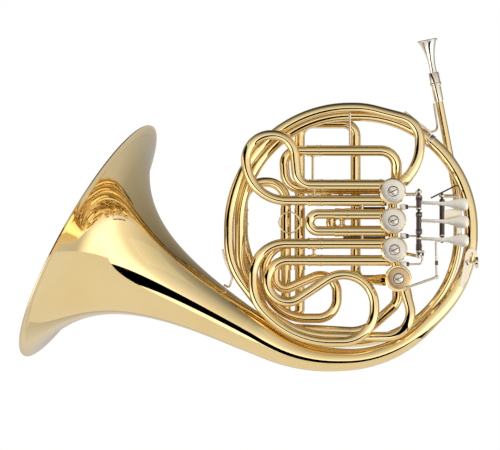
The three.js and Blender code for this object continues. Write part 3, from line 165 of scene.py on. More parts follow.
def build_world():
    world = bpy.data.worlds.new("white_tent")
    bpy.context.scene.world = world
    world.use_nodes = True
    tree = world.node_tree
    tree.nodes.clear()
    direction = node(tree, "ShaderNodeTexCoord").outputs["Generated"]
    axes = node(tree, "ShaderNodeSeparateXYZ")
    tree.links.new(direction, axes.inputs[0])
    walls = ramp(tree, half_range(tree, axes.outputs["Z"]), WALL_STOPS)
    facing = ramp(tree, half_range(tree, axes.outputs["Y"], -0.5), FACING_STOPS)
    tilted = node(tree, "ShaderNodeVectorMath", operation="DOT_PRODUCT")
    tree.links.new(direction, tilted.inputs[0])
    tilted.inputs[1].default_value = SLOT_TILT
    slot_shade = ramp(tree, half_range(tree, tilted.outputs["Value"]), SLOT_STOPS)
    behind = mix(tree, 1, walls, (*grey(BACK_LEVEL), 1), "MULTIPLY")
    before = mix(tree, 1, walls, slot_shade, "MULTIPLY")
    tent = mix(tree, facing, behind, before)
    seen = node(tree, "ShaderNodeLightPath").outputs["Is Camera Ray"]
    shine = node(tree, "ShaderNodeBackground")
    tree.links.new(mix(tree, seen, tent, WHITE), shine.inputs["Color"])
    output = node(tree, "ShaderNodeOutputWorld")
    tree.links.new(shine.outputs[0], output.inputs["Surface"])


# Brightness of the tent by height, from straight down at 0 to straight up at 1
WALL_STOPS = [(0.0, grey(0.2)), (0.15, grey(1.2)), (0.30, grey(1.9)), (0.42, grey(1.5)), (0.50, grey(1.0)),
              (0.66, grey(0.75)), (0.80, grey(0.55)), (0.9, grey(0.3)), (1.0, grey(0.05))]
# The slot is a dark band across this direction, and it passes below the lens
SLOT_TILT = (0.6, 0.0, 0.8)
SLOT_STOPS = [(0.0, grey(1)), (0.252, grey(1)), (0.258, grey(0)), (0.452, grey(0)), (0.458, grey(1)),
              (1.0, grey(1))]
# From the wall behind the horn at 0 to the lens at 1: where the slot begins, and how dim that wall is
FACING_STOPS = [(0.0, grey(0)), (0.42, grey(0)), (0.55, grey(1)), (1.0, grey(1))]
BACK_LEVEL = 0.38
build_world()
print("tent built")

# %% [markdown]
# ## Lamps and floor
# One large soft lamp stands high at the left and a weaker one at the right, as the even light of the
# photograph asks. The floor is plain and pale and lies well below the horn. It glows white for the
# camera, and less in the metal, so that the bell mirrors a pale floor without being washed out.

# %% Add the lamps and the floor
FLOOR_DROP = 0.5
FLOOR_SIZE = 1.4
FLOOR_COLOUR = (0.86, 0.86, 0.86, 1)
FLOOR_ROUGHNESS = 0.9
FLOOR_GLOW = 0.95
FLOOR_SHINE = 0.55


def lamp(name, where, size, power):
    """A square lamp that faces the horn: its place and size in metres, its power in watts."""
    aim = (view_centre - Vector(where)).to_track_quat("-Z", "Y").to_euler()
    bpy.ops.object.light_add(type="AREA", location=where, rotation=aim)
    made = bpy.context.object
    made.name = name
    made.data.size = size
    made.data.energy = power


lamp("key_lamp", (-1.6, -2.2, 2.0), 2.4, 1.2)
lamp("fill_lamp", (1.8, -2.0, 1.2), 1.8, 0.8)


def build_floor():
    spot = (view_centre.x, 0, cad_box[0][2] - FLOOR_DROP)
    bpy.ops.mesh.primitive_plane_add(size=FLOOR_SIZE, location=spot)
    floor = bpy.context.object
    floor.name = "floor"
    material = bpy.data.materials.new("pale_floor")
    material.use_nodes = True
    shader = material.node_tree.nodes["Principled BSDF"]
    shader.inputs["Base Color"].default_value = FLOOR_COLOUR
    shader.inputs["Roughness"].default_value = FLOOR_ROUGHNESS
    shader.inputs["Specular IOR Level"].default_value = 0
    shader.inputs["Emission Color"].default_value = WHITE
    rays = node(material.node_tree, "ShaderNodeLightPath").outputs
    glow = math_node(material.node_tree, "MULTIPLY", rays["Is Camera Ray"], FLOOR_GLOW)
    for ray in ("Is Glossy Ray", "Is Transmission Ray"):
        mirrored = math_node(material.node_tree, "MULTIPLY", rays[ray], FLOOR_SHINE)
        glow = math_node(material.node_tree, "ADD", glow, mirrored)
    material.node_tree.links.new(glow, shader.inputs["Emission Strength"])
    floor.data.materials.append(material)


build_floor()
print("floor at", round(cad_box[0][2] - FLOOR_DROP, 3), "m")

# %% [markdown]
# ## Finishes
# Lacquered brass is a bright metal under a thin clear coat. Where hands and polishing wheels have been,
# the shine varies a little, so noise moves the colour, the roughness and a faint bump, each at a scale
# of its own. Nickel silver is paler and cooler, silver plate nearly white, the discs and spoons have a
# satin face, and the axles are dark steel.

# %% Make the metals
CLOUD_SCALE = 14.0
WEAR_SCALE = 60.0
WEAR_DETAIL = 4.0
GRAIN_SCALE = 220.0
GRAIN_HEIGHT = 0.0004
COAT_ROUGHNESS = 0.03


def noise(tree, scale, detail=2.0):
    spot = node(tree, "ShaderNodeTexCoord").outputs["Object"]
    made = node(tree, "ShaderNodeTexNoise")
    made.inputs["Scale"].default_value = scale
    made.inputs["Detail"].default_value = detail
    tree.links.new(spot, made.inputs["Vector"])
    return made.outputs["Fac"]


def make_metal(name, bright, deep, smooth, rough, bump, coat=0.0):
    material = bpy.data.materials.new(name)
    material.use_nodes = True
    tree = material.node_tree
    shader = tree.nodes["Principled BSDF"]
    shader.inputs["Metallic"].default_value = 1.0
    shader.inputs["Coat Weight"].default_value = coat
    shader.inputs["Coat Roughness"].default_value = COAT_ROUGHNESS
    cloud = noise(tree, CLOUD_SCALE)
    tree.links.new(ramp(tree, cloud, [(0.3, deep), (0.7, bright)]), shader.inputs["Base Color"])
    wear = noise(tree, WEAR_SCALE, WEAR_DETAIL)
    tree.links.new(ramp(tree, wear, [(0.35, grey(smooth)), (0.75, grey(rough))]), shader.inputs["Roughness"])
    grain = node(tree, "ShaderNodeBump")
    grain.inputs["Strength"].default_value = bump
    grain.inputs["Distance"].default_value = GRAIN_HEIGHT
    tree.links.new(noise(tree, GRAIN_SCALE), grain.inputs["Height"])
    tree.links.new(grain.outputs["Normal"], shader.inputs["Normal"])
    return material


finishes = {
    "lacquered_brass": make_metal(
        "lacquered_brass_finish", (0.96, 0.75, 0.39), (0.93, 0.70, 0.33), 0.03, 0.06, 0.01, 0.1),
    "nickel_silver": make_metal(
        "nickel_silver_finish", (0.90, 0.80, 0.64), (0.86, 0.75, 0.58), 0.08, 0.16, 0.02),
    "satin_nickel": make_metal(
        "satin_nickel_finish", (1.0, 0.93, 0.80), (0.98, 0.90, 0.76), 0.34, 0.44, 0.01),
    "satin_brass": make_metal(
        "satin_brass_finish", (0.80, 0.58, 0.34), (0.74, 0.52, 0.29), 0.30, 0.42, 0.04),
    # Dark steel is the axles' own finish, and the screws' slots and seats also use it as painted shade
    "dark_steel": make_metal(
        "dark_steel_finish", (0.16, 0.12, 0.11), (0.10, 0.08, 0.07), 0.22, 0.38, 0.05),
    "silver_plate": make_metal(
        "silver_plate_finish", (0.93, 0.88, 0.78), (0.89, 0.83, 0.72), 0.06, 0.12, 0.02),
}
print("finishes:", ", ".join(finishes))

# %% [markdown]
# ## Tubes
# Nearly the whole horn is bent tube. A route is a list of corners, each with its depth and its bend
# radius in pixels; straight runs and round bends join them. A curve with a round bevel then gives the
# tube, its radius set at each point, and a step in that radius makes a ferrule or a collar. The curve
# becomes a mesh at the end.

# %% Draw routes
BEND_STEP = math.radians(3.5)
# Two stops that lie this close together make a step in a profile
JUMP = 0.00002


def along_bend(before, corner, after, radius):
    """The points of a round bend between two straight runs, hub and all in one plane."""
    start_way = (before - corner).normalized()
    end_way = (after - corner).normalized()
    turn = math.pi - start_way.angle(end_way)
    hub = corner + (start_way + end_way).normalized() * (radius / math.cos(turn / 2))
    run = radius * math.tan(turn / 2)
    start = corner + start_way * run - hub
    end = corner + end_way * run - hub
    steps = max(2, math.ceil(turn / BEND_STEP))
    points = []
    for k in range(steps + 1):
        share = k / steps
        a = math.sin((1 - share) * turn) / math.sin(turn)
        b = math.sin(share * turn) / math.sin(turn)
        points.append(hub + start * a + end * b)
    return points


def route(corners):
    points = [place(*corner[:3]) for corner in corners]
    line = [points[0]]
    for i in range(1, len(points) - 1):
        line += along_bend(points[i - 1], points[i], points[i + 1], corners[i][3] * PIXEL)
    return line + [points[-1]]


def travels(line):
    """How far along the line each of its points lies."""
    total = 0.0
    result = [0.0]
    for a, b in zip(line, line[1:]):
        total += (b - a).length
        result.append(total)
    return result


def point_at(line, travel):
    marks = travels(line)
    for i in range(1, len(line)):
        if travel <= marks[i] or i == len(line) - 1:
            share = (travel - marks[i - 1]) / max(marks[i] - marks[i - 1], JUMP)
            return line[i - 1].lerp(line[i], share)


def piece_of(line, start, end):
    marks = travels(line)
    inside = [p for p, t in zip(line, marks) if start + 10 * JUMP < t < end - 10 * JUMP]
    return [point_at(line, start), *inside, point_at(line, end)]


print("bend step", round(math.degrees(BEND_STEP), 1), "degrees")

# %% [markdown]
# ## From mesh to piece
# Every piece goes through the same last steps: its place is applied, its faces are shaded smooth, it
# gets its finish and a body to ride on, and where it stands for a plain piece, that one is hidden. A
# tube's profile is a list of stops, each with how far along the line it lies and the radius there.

# %% Finish pieces and hand them to the model
made_pieces = []
SMOOTH_ANGLE = 40


def only(piece):
    bpy.ops.object.select_all(action="DESELECT")
    piece.select_set(True)
    bpy.context.view_layer.objects.active = piece


def modify(piece, kind, **values):
    """Give a piece a modifier and apply it."""
    only(piece)
    bpy.ops.object.modifier_add(type=kind)
    for key, value in values.items():
        setattr(piece.modifiers[-1], key, value)
    bpy.ops.object.modifier_apply(modifier=piece.modifiers[-1].name)


def finish_piece(piece, name, finish, body="horn_body", stands_for=(), angle=SMOOTH_ANGLE):
    only(piece)
    bpy.ops.object.transform_apply(location=True, rotation=True, scale=True)
    bpy.ops.object.shade_smooth_by_angle(angle=math.radians(angle))
    piece.name = name
    piece.data.name = name
    piece.data.materials.clear()
    piece.data.materials.append(finishes[finish])
    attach(piece, body)
    if stands_for:
        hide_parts(*stands_for)
    made_pieces.append(piece)
    return piece


def interpolated(profile, travel):
    for (t0, r0), (t1, r1) in zip(profile, profile[1:]):
        if t0 <= travel <= t1:
            return r0 + (r1 - r0) * (travel - t0) / max(t1 - t0, JUMP)
    return profile[-1][1]


def poly_curve(points):
    """A new curve of straight lines through the points."""
    bpy.ops.object.select_all(action="DESELECT")
    bpy.ops.curve.primitive_bezier_curve_add()
    curve = bpy.context.object.data
    curve.splines.clear()
    spline = curve.splines.new("POLY")
    spline.points.add(len(points) - 1)
    for control, point in zip(spline.points, points):
        control.co = (*point, 1)
    return curve


def tube(name, line, profile, finish="lacquered_brass", body="horn_body", stands_for=(), fine=10, wall=0.0):
    """A round tube on a line. The profile is one radius, pairs of travel and radius, or a function."""
    marks = travels(line)
    if isinstance(profile, float):
        profile = [(0.0, profile), (marks[-1], profile)]
    if callable(profile):
        profile = [(t, profile(t)) for t in marks]
    stops = [(t, interpolated(profile, t)) for t in marks if all(abs(t - p) > 5 * JUMP for p, _ in profile)]
    stops = sorted(stops + list(profile), key=lambda stop: stop[0])
    for i in range(1, len(stops)):
        if stops[i][0] - stops[i - 1][0] < JUMP:
            stops[i] = (stops[i - 1][0] + JUMP, stops[i][1])
    curve = poly_curve([point_at(line, min(travel, marks[-1])) for travel, _ in stops])
    for control, (_, radius) in zip(curve.splines[0].points, stops):
        control.radius = radius
    curve.bevel_depth = 1.0
    curve.bevel_resolution = fine
    curve.use_fill_caps = wall == 0.0
    bpy.ops.object.convert(target="MESH")
    piece = bpy.context.object
    if wall:
        modify(piece, "SOLIDIFY", thickness=wall, offset=-1)
    return finish_piece(piece, name, finish, body, stands_for)


print("ready to bend tubes")

# %% [markdown]
# ## Turned pieces
# The bell, the mouthpiece, ferrules, caps and screws are all turned. Each starts as a circle, whose edge
# is extruded and resized ring by ring, as a lathe tool would follow the profile.

# %% Turn pieces on an axis
FRONT = Vector((0, -1, 0))
UP = Vector((0, 0, 1))
RIGHT = Vector((1, 0, 0))
WELD = 0.000002


def turned(name, start, direction, profile, finish, body="horn_body", stands_for=(), sides=48,
           closed=False, angle=SMOOTH_ANGLE):
    """Rings of (distance, radius) along an axis. A closed profile joins its last ring to its first."""
    bpy.ops.object.select_all(action="DESELECT")
    bpy.ops.mesh.primitive_circle_add(vertices=sides, radius=profile[0][1], fill_type="NOTHING")
    piece = bpy.context.object
    bpy.ops.object.mode_set(mode="EDIT")
    bpy.ops.mesh.select_all(action="SELECT")
    height = profile[0][0]
    radius = profile[0][1]
    bpy.ops.transform.translate(value=(0, 0, height))
    rings = list(profile[1:]) + ([profile[0]] if closed else [])
    for next_height, next_radius in rings:
        bpy.ops.mesh.extrude_edges_move(TRANSFORM_OT_translate={"value": (0, 0, next_height - height)})
        grow = next_radius / radius
        bpy.ops.transform.resize(value=(grow, grow, 1), center_override=(0, 0, next_height))
        height = next_height
        radius = next_radius
    bpy.ops.mesh.select_all(action="SELECT")
    bpy.ops.mesh.remove_doubles(threshold=WELD)
    if not closed:
        bpy.ops.mesh.fill_holes(sides=0)
    bpy.ops.mesh.normals_make_consistent(inside=False)
    bpy.ops.object.mode_set(mode="OBJECT")
    piece.rotation_euler = direction.to_track_quat("Z", "Y").to_euler()
    piece.location = start
    return finish_piece(piece, name, finish, body, stands_for, angle)


print("lathe ready")

# %% [markdown]
# ## Small blocks and rods
# Brackets, arms and lugs are filed from bar. A cube is scaled to size and its edges bevelled, because
# no real edge is sharp and the bevels catch the light. A rod is a short turned piece with rounded ends.

# %% Cut blocks and rods
EDGE = 0.0003
EYE_HALF = 1.4
EYE_RADIUS = 0.0036


def block(name, low, high, finish, body="horn_body", stands_for=(), edge=EDGE):
    middle = (Vector(low) + Vector(high)) / 2
    size = Vector(high) - Vector(low)
    bpy.ops.object.select_all(action="DESELECT")
    bpy.ops.mesh.primitive_cube_add(size=1, location=middle)
    piece = bpy.context.object
    piece.scale = size
    bpy.ops.object.transform_apply(location=True, rotation=True, scale=True)
    bpy.ops.object.mode_set(mode="EDIT")
    bpy.ops.mesh.select_all(action="SELECT")
    bpy.ops.mesh.bevel(offset=edge, segments=2, affect="EDGES")
    bpy.ops.object.mode_set(mode="OBJECT")
    return finish_piece(piece, name, finish, body, stands_for)


def rod(name, start, end, radius, finish, body="horn_body", stands_for=(), sides=20):
    """A short rod whose ends are rounded by a quarter of its radius."""
    length = (end - start).length
    soft = min(radius * 0.25, length * 0.2)
    profile = [(0, radius - soft), (soft, radius), (length - soft, radius), (length, radius - soft)]
    return turned(name, start, end - start, profile, finish, body, stands_for, sides)


def upright(name, px, top, bottom, depth, radius, finish, body="horn_body", stands_for=(), sides=20):
    """A rod that stands in one column of the photograph, from one row to another."""
    return rod(name, place(px, top, depth), place(px, bottom, depth), radius, finish, body, stands_for, sides)


def eye(name, px, py, depth):
    """The eye of a bracket, round an axle."""
    return upright(name, px, py - EYE_HALF, py + EYE_HALF, depth, EYE_RADIUS, "nickel_silver")


def ball(name, centre, radius, finish, body="horn_body"):
    bpy.ops.object.select_all(action="DESELECT")
    bpy.ops.mesh.primitive_uv_sphere_add(segments=24, ring_count=14, radius=radius, location=centre)
    return finish_piece(bpy.context.object, name, finish, body, angle=60)


print("blocks, rods and balls ready")

# %% [markdown]
# ## The bell
# A real bell is spun from one sheet of brass over a mandrel, and its rim is rolled round a wire. Its
# radius grows slowly at first and then very fast, which one power law follows well. It is turned here
# with a wall, so that it is hollow from its mouth down to its throat.

# %% Spin the bell
BELL_RADIUS = 0.155
THROAT_RADIUS = 0.025
FLARE_LENGTH = 0.055
BELL_WALL = 0.0008
BEAD = 0.0017
BELL_LAYER = 6
RIM_PX = (86.5, 240.5)
THROAT_PX = (246, 329.3)
MOUTH_SETBACK = 44
THROAT_SETBACK = 3
BELL_RINGS = 46
RING_SPACING = 1.7

rim_centre = place(*RIM_PX, BELL_LAYER + MOUTH_SETBACK)
throat = place(*THROAT_PX, BELL_LAYER + THROAT_SETBACK)
bell_axis = throat - rim_centre
bell_length = bell_axis.length
flare_rate = math.log(BELL_RADIUS / THROAT_RADIUS) / math.log((bell_length + FLARE_LENGTH) / FLARE_LENGTH)


def flare(distance):
    """The bell's radius at a distance from its mouth."""
    return BELL_RADIUS * (FLARE_LENGTH / (distance + FLARE_LENGTH)) ** flare_rate


def build_bell():
    outer = []
    for k in range(1, BELL_RINGS + 1):
        distance = 2 * BEAD + (k / BELL_RINGS) ** RING_SPACING * (bell_length - 2 * BEAD)
        outer.append((distance, flare(distance)))
    inner = [(d, r - BELL_WALL) for d, r in reversed(outer)]
    bead = [(BEAD, flare(BEAD) - BEAD)]
    for k in range(9):
        turn = math.pi * (1.0 - k / 8)
        bead.append((BEAD - BEAD * math.sin(turn), BELL_RADIUS - 0.5 * BEAD - BEAD * math.cos(turn) * 0.7))
    bead += [(2 * BEAD, flare(2 * BEAD) - 0.0002)]
    turned("bell_skin", rim_centre, bell_axis, bead + outer + inner, "lacquered_brass",
           stands_for=["bell"], sides=144, closed=True, angle=35)


build_bell()
print("bell", round(bell_length / MM), "mm deep, flare rate", round(flare_rate, 3))

# %% [markdown]
# ## The conical run
# From the bell's throat the bore narrows all the way round the ring. The wide part is the tail, a
# hollow tube with a thin wall, so that the bell stays open down its throat. A ferrule joins it to the
# first branch, which goes round once more to the change valve.

# %% Bend the tail and the first branch
BRANCH = 13
# The run leaves the throat along the bell's own axis, for this share of the bell's length
AXIS_SHARE = 0.07
axis_px = [THROAT_PX[i] + (THROAT_PX[i] - RIM_PX[i]) * AXIS_SHARE for i in (0, 1)]
axis_depth = BELL_LAYER + THROAT_SETBACK - (MOUTH_SETBACK - THROAT_SETBACK) * AXIS_SHARE
branch_line = route([
    (*THROAT_PX, BELL_LAYER + THROAT_SETBACK),
    (*axis_px, axis_depth, 60),
    (300.5, 359.8, BELL_LAYER, 140),
    (391.7, 359.8, BELL_LAYER, 112),
    (471.5, 280, BELL_LAYER + 2, 112),
    (471.5, 115, BRANCH, 113),
    (240, 115, BRANCH, 109),
    (240, 268, BRANCH + 8, 60),
    (275, 328.2, BRANCH + 12, 42),
    (364.5, 333, BRANCH - 1, 38),
    (398.2, 302.6, BRANCH - 4, 19),
    (398.2, 293.5, BRANCH - 4),
])
branch_length = travels(branch_line)[-1]
joint_place = place(425, 138, BRANCH)
tail_joint = min(zip(branch_line, travels(branch_line)), key=lambda pair: (pair[0] - joint_place).length)[1]
TAIL_END = 0.007
TAIL_TAPER = 0.115
TAIL_WALL = 0.0007
BRANCH_END = 0.006
FERRULE = 0.003


def cone(travel):
    """The run's radius at a travel from the throat."""
    taper = TAIL_END + (THROAT_RADIUS - TAIL_END) * math.exp(-travel / TAIL_TAPER)
    beyond = max(0.0, travel - tail_joint) / (branch_length - tail_joint)
    return taper + (BRANCH_END - TAIL_END) * beyond


tail_line = piece_of(branch_line, 0.0, tail_joint)
tube("bell_tail_tube", tail_line, cone, stands_for=["bell_tail"], fine=18, wall=TAIL_WALL)
band = piece_of(branch_line, tail_joint - 2 * FERRULE, tail_joint)
band_profile = [(t, cone(tail_joint) + lift) for t, lift in (
    (0.0, 0.0004), (0.0004, 0.0009), (0.0052, 0.0009), (0.0058, 0.0004))]
tube("bell_tail_ferrule", band, band_profile, "nickel_silver")
branch_part = piece_of(branch_line, tail_joint + 0.0002, branch_length)
tube("first_branch_tube", branch_part, lambda t: cone(t + tail_joint), stands_for=["first_branch"], fine=12)
print("conical run", round(branch_length / MM), "mm long")

# %% [markdown]
# ## The F side's long tube, the leadpipe and the crown
# Three more runs lie beside the branch. The leadpipe starts narrow at the receiver and ends in one leg
# of the main tuning slide; the crown tube takes the sound on from its other leg to the change valve.
# A leg slides in a sleeve, whose mouth has a ferrule.

# %% Bend the three runs
RING_TUBE = 0.0059
SLEEVE = 0.0063
FERRULE_RADIUS = 0.0068
BACK = 33
LEAD_TOP = (439.9, 101, BACK)
LEAD_BEND = (458.5, 197.7, BACK)
LEAD_START = 0.0046
LEAD_MIDDLE = 0.00525
MAIN_LEG_LEFT = 286
MAIN_LEG_RIGHT = 300
LEAD_LEFT = 243
MAIN_SLEEVE_TOP = 208
MAIN_SLEEVE_END = 258

ring_line = route([
    (404.3, 180.7, -7),
    (419.7, 165.3, -7, 50),
    (419.7, 122, -3.5, 24),
    (364.6, 107.5, 0, 80),
    (229, 107.5, 0, 121),
    (229, 264.8, 0, 70),
    (282, 335, 0, 96),
    (362, 337, 1, 60),
    (417.5, 336, -14, 24),
    (405.6, 292.2, -9),
])
tube("f_ring_tube_long", ring_line, RING_TUBE, stands_for=["f_ring_tube"])

lead_line = route([
    LEAD_TOP,
    (*LEAD_BEND, 120),
    (458.5, 341, BACK, 107),
    (274, 345, BACK + 6, 50),
    (LEAD_LEFT, 240, BACK, 60),
    (LEAD_LEFT, 182, BACK, 22),
    (MAIN_LEG_LEFT, 182, BACK, 19),
    (MAIN_LEG_LEFT, MAIN_SLEEVE_END, BACK),
])
lead_length = travels(lead_line)[-1]
sleeve_run = (MAIN_SLEEVE_END - MAIN_SLEEVE_TOP) * PIXEL


def ferruled(length, start, radius=RING_TUBE):
    """A sleeve's profile: the plain tube, the wider sleeve and the ferrule at its mouth."""
    return [(start, radius), (start, SLEEVE), (length - FERRULE, SLEEVE), (length - FERRULE, FERRULE_RADIUS),
            (length - 0.0005, FERRULE_RADIUS), (length - 0.0002, FERRULE_RADIUS - 0.0003)]


lead_profile = [(0.0, LEAD_START), (0.3, LEAD_MIDDLE)] + ferruled(lead_length, lead_length - sleeve_run)
tube("leadpipe_tube", lead_line, lead_profile, stands_for=["leadpipe"])

crown_line = route([
    (MAIN_LEG_RIGHT, MAIN_SLEEVE_END, BACK),
    (MAIN_LEG_RIGHT, 123, BACK, 13),
    (356, 123, BACK, 13),
    (356, 280, BACK, 10),
    (382.6, 280, 6),
])
crown_length = travels(crown_line)[-1]
crown_sleeve = ferruled(crown_length, crown_length - sleeve_run)
crown_profile = [(crown_length - t, r) for t, r in reversed(crown_sleeve)] + [(crown_length, RING_TUBE)]
tube("crown_tube_bend", crown_line, crown_profile, stands_for=["crown_tube"])
print("leadpipe", round(lead_length / MM), "mm, crown", round(crown_length / MM), "mm")

# %% [markdown]
# ## Receiver and mouthpiece
# The receiver is a nickel-silver socket with a turned ring. The mouthpiece is a deep funnel: a rounded
# rim, a cup whose wall runs straight into the bore, and a shank that wedges in the socket.

# %% Turn the receiver and the mouthpiece
RECEIVER_LENGTH = 0.0347
SHANK_DEPTH = 0.025
MOUTHPIECE_LENGTH = 0.0645
CUP_DEPTH = 0.024
RIM_MIDDLE = 0.0106
RIM_ROUND = 0.0012

pipe_top = place(*LEAD_TOP)
pipe_axis = (place(*LEAD_BEND) - pipe_top).normalized()
receiver_top = pipe_top - pipe_axis * RECEIVER_LENGTH
cup_top = receiver_top + pipe_axis * (SHANK_DEPTH - MOUTHPIECE_LENGTH)

turned("receiver_socket", receiver_top, pipe_axis, [
    (0.0255, 0.0040), (0.0, 0.00445), (0.0, 0.0057), (0.0004, 0.006), (0.0118, 0.006), (0.0118, 0.0063),
    (0.0123, 0.0067), (0.0132, 0.0067), (0.0134, 0.0064), (0.0139, 0.0064), (0.0141, 0.0067),
    (0.0147, 0.0067), (0.0152, 0.0063), (0.0152, 0.0054), (0.033, 0.0054), (0.0344, 0.0050)],
    "nickel_silver", stands_for=["mouthpiece_receiver"])

rim_turns = [math.pi * k / 10 for k in range(11)]
rim_round = [(RIM_ROUND * (1 - math.cos(a)), RIM_MIDDLE + RIM_ROUND * math.sin(a)) for a in rim_turns]
turned("mouthpiece_funnel", cup_top, pipe_axis, [
    (CUP_DEPTH, 0.0018), (CUP_DEPTH * 0.7, 0.0038), (CUP_DEPTH * 0.3, 0.0070), (0.0012, 0.0088),
    (0.0003, 0.0095), *rim_round, (0.0032, 0.0102), (0.0055, 0.0090), (0.0081, 0.0081), (0.013, 0.0066),
    (0.018, 0.0053), (0.0235, 0.0045), (0.030, 0.0040), (0.0392, 0.0040), (MOUTHPIECE_LENGTH, 0.0036)],
    "silver_plate", "mouthpiece", ["mouthpiece"], angle=30)
print("mouthpiece rim at", [round(v, 3) for v in cup_top])

# %% [markdown]
# ## Slides
# Each valve has a slide on either side of it: the front row belongs to the F side and the back row to
# the B flat side. A slide is two straight legs and a bow. Each leg ends in a collar, which stops against
# the ferrule of its sleeve, and a short rod braces the two collars.

# %% Bend the slides
LEG = 0.0053
COLLAR = 0.0063
BOW = 0.0057
COLLAR_RING = 0.0067
COLLAR_RING_LENGTH = 0.0025
COLLAR_LENGTH = 0.014
SEAT_GAP = 0.0003
LEG_PX = 28.96
LEG_LENGTH = LEG_PX * PIXEL + SEAT_GAP
F_LAYER = -13
FLAT_LAYER = 13


def collared(total):
    """A slide's profile: a thin leg, a collar between two rings, and the bow."""
    first = LEG_LENGTH
    last = first + COLLAR_LENGTH
    ring = COLLAR_RING_LENGTH
    half = [(0.0, LEG), (first + SEAT_GAP, LEG), (first + SEAT_GAP, COLLAR_RING), (first + ring, COLLAR_RING),
            (first + ring, COLLAR), (last - ring, COLLAR), (last - ring, COLLAR_RING), (last, COLLAR_RING),
            (last, BOW)]
    return half + [(total - t, r) for t, r in reversed(half)]


def slide(name, corners):
    """A slide on a route, and the brace between its collars, which flares at both ends."""
    line = route(corners)
    tube(name + "_bow", line, collared(travels(line)[-1]), body=name, stands_for=[name])
    middle = LEG_LENGTH + COLLAR_LENGTH / 2
    start = point_at(line, middle)
    end = point_at(line, travels(line)[-1] - middle)
    span = (end - start).length
    turned(name + "_brace", start, end - start, [
        (0.005, 0.003), (0.0068, 0.003), (0.0078, 0.0015), (span - 0.0078, 0.0015), (span - 0.0068, 0.003),
        (span - 0.005, 0.003)], "lacquered_brass", name, sides=20)


def valve_slide(name, upper, lower, mouth, depth, bow):
    end = mouth + LEG_PX
    slide(name, [(end, upper, depth), *[(x, y, depth, r) for x, y, r in bow], (end, lower, depth)])


# A slide's body, its two rows, the column of its sleeves' mouths, its layer and the corners of its bow
slide_rows = [
    ("valve_1_f_slide", 185, 200.5, 320, F_LAYER, [
        (297.5, 185, 14), (292.5, 135, 22), (246, 135, 25), (246, 200.5, 40)]),
    ("valve_2_f_slide", 214, 231, 347, F_LAYER, [(309.5, 214, 8.4), (309.5, 231, 8.4)]),
    ("valve_3_f_slide", 243.5, 260.4, 320, F_LAYER, [
        (253, 243.5, 32), (253, 300.5, 40), (294, 341.5, 88), (374.3, 341.5, 32), (374.3, 247.3, 31),
        (267.5, 319.4, 20), (267.5, 260.4, 20)]),
    ("valve_1_b_flat_slide", 185, 200.5, 347, FLAT_LAYER, [(326, 185, 7.6), (326, 200.5, 7.6)]),
    ("valve_2_b_flat_slide", 214, 231, 350, FLAT_LAYER, [(331, 214, 8.4), (331, 231, 8.4)]),
    ("valve_3_b_flat_slide", 243.5, 260.4, 320, FLAT_LAYER, [
        (264.2, 243.5, 27), (264.2, 318.5, 42), (337, 318.5, 19), (337, 267, 16.5), (275.2, 294.2, 10.5),
        (275.2, 260.4, 10.5)]),
]
for row in slide_rows:
    valve_slide(*row)
UPPER_LEG = 347.96
slide("upper_tuning_slide", [
    (UPPER_LEG, 150.7, 0), (283.5, 150.7, 0, 13), (286, 189, 0, 16), (UPPER_LEG, 189, 0)])
MAIN_LEG_TOP = 229.04
MAIN_BOW = (316.3, BACK, 6.95)
slide("main_tuning_slide", [
    (MAIN_LEG_LEFT, MAIN_LEG_TOP, BACK), (MAIN_LEG_LEFT, *MAIN_BOW), (MAIN_LEG_RIGHT, *MAIN_BOW),
    (MAIN_LEG_RIGHT, MAIN_LEG_TOP, BACK)])
print("slides:", len(slide_rows) + 2)

# %% [markdown]
# ## Valve casings
# Each valve is a drum lying along the view. Sleeves for the slides come out of its left side, knuckles
# join it to its neighbours, and the wide runs enter through ports. A flange carries the bearing plate at
# the front, and a cap closes the back.

# %% Turn the casings and fit their sleeves
VALVES = [(392.4, 191.4), (392.8, 220.6), (393.9, 249.6), (398, 278.3)]
CASING = 0.0145
CASING_FRONT = -26
CAP_FRONT = 26.3
# How far a sleeve's foot reaches into the casing's round wall
FOOT_SINK_PX = 2.5
FOOT_LEAD_PX = 2.6

for number, (vx, vy) in enumerate(VALVES, 1):
    turned(f"casing_{number}_drum", place(vx, vy, CASING_FRONT), -FRONT, [
        (0.0, 0.0128), (0.0004, 0.0132), (0.0018, 0.0132), (0.0018, CASING), (0.0024, 0.0152),
        (0.0028, 0.0156), (0.0044, 0.0156), (0.0048, 0.0152), (0.0048, CASING), (0.0515, CASING),
        (0.052, 0.014)],
        "lacquered_brass", stands_for=[f"valve_casing_{number}"], sides=96)
    turned(f"back_cap_{number}_disc", place(vx, vy, CAP_FRONT), -FRONT, [
        (0.0, 0.0145), (0.0004, 0.0149), (0.0014, 0.0149), (0.0016, 0.0146), (0.0022, 0.0146),
        (0.0024, 0.0149), (0.0044, 0.0149), (0.005, 0.0143), (0.005, 0.0042), (0.0066, 0.0042),
        (0.007, 0.0038)],
        "lacquered_brass", stands_for=[f"back_cap_{number}"], sides=96)


def sleeve_to(name, valve, row, mouth, depth):
    """A slide's sleeve, from inside the casing's wall to its ferruled mouth."""
    rise = (row - valve[1]) * PIXEL
    start = valve[0] - math.sqrt(CASING ** 2 - rise ** 2) / PIXEL + FOOT_SINK_PX
    line = [place(start, row, depth), place(mouth, row, depth)]
    length = travels(line)[-1]
    tube(name, line, [(0.0, SLEEVE), *ferruled(length, length / 2, SLEEVE)])
    foot = place(start - FOOT_LEAD_PX, row, depth)
    turned(name + "_foot", foot, place(mouth, row, depth) - foot, [
        (0.0, SLEEVE), (0.0002, 0.0069), (0.0022, 0.0069), (0.0026, SLEEVE)], "lacquered_brass", sides=48)


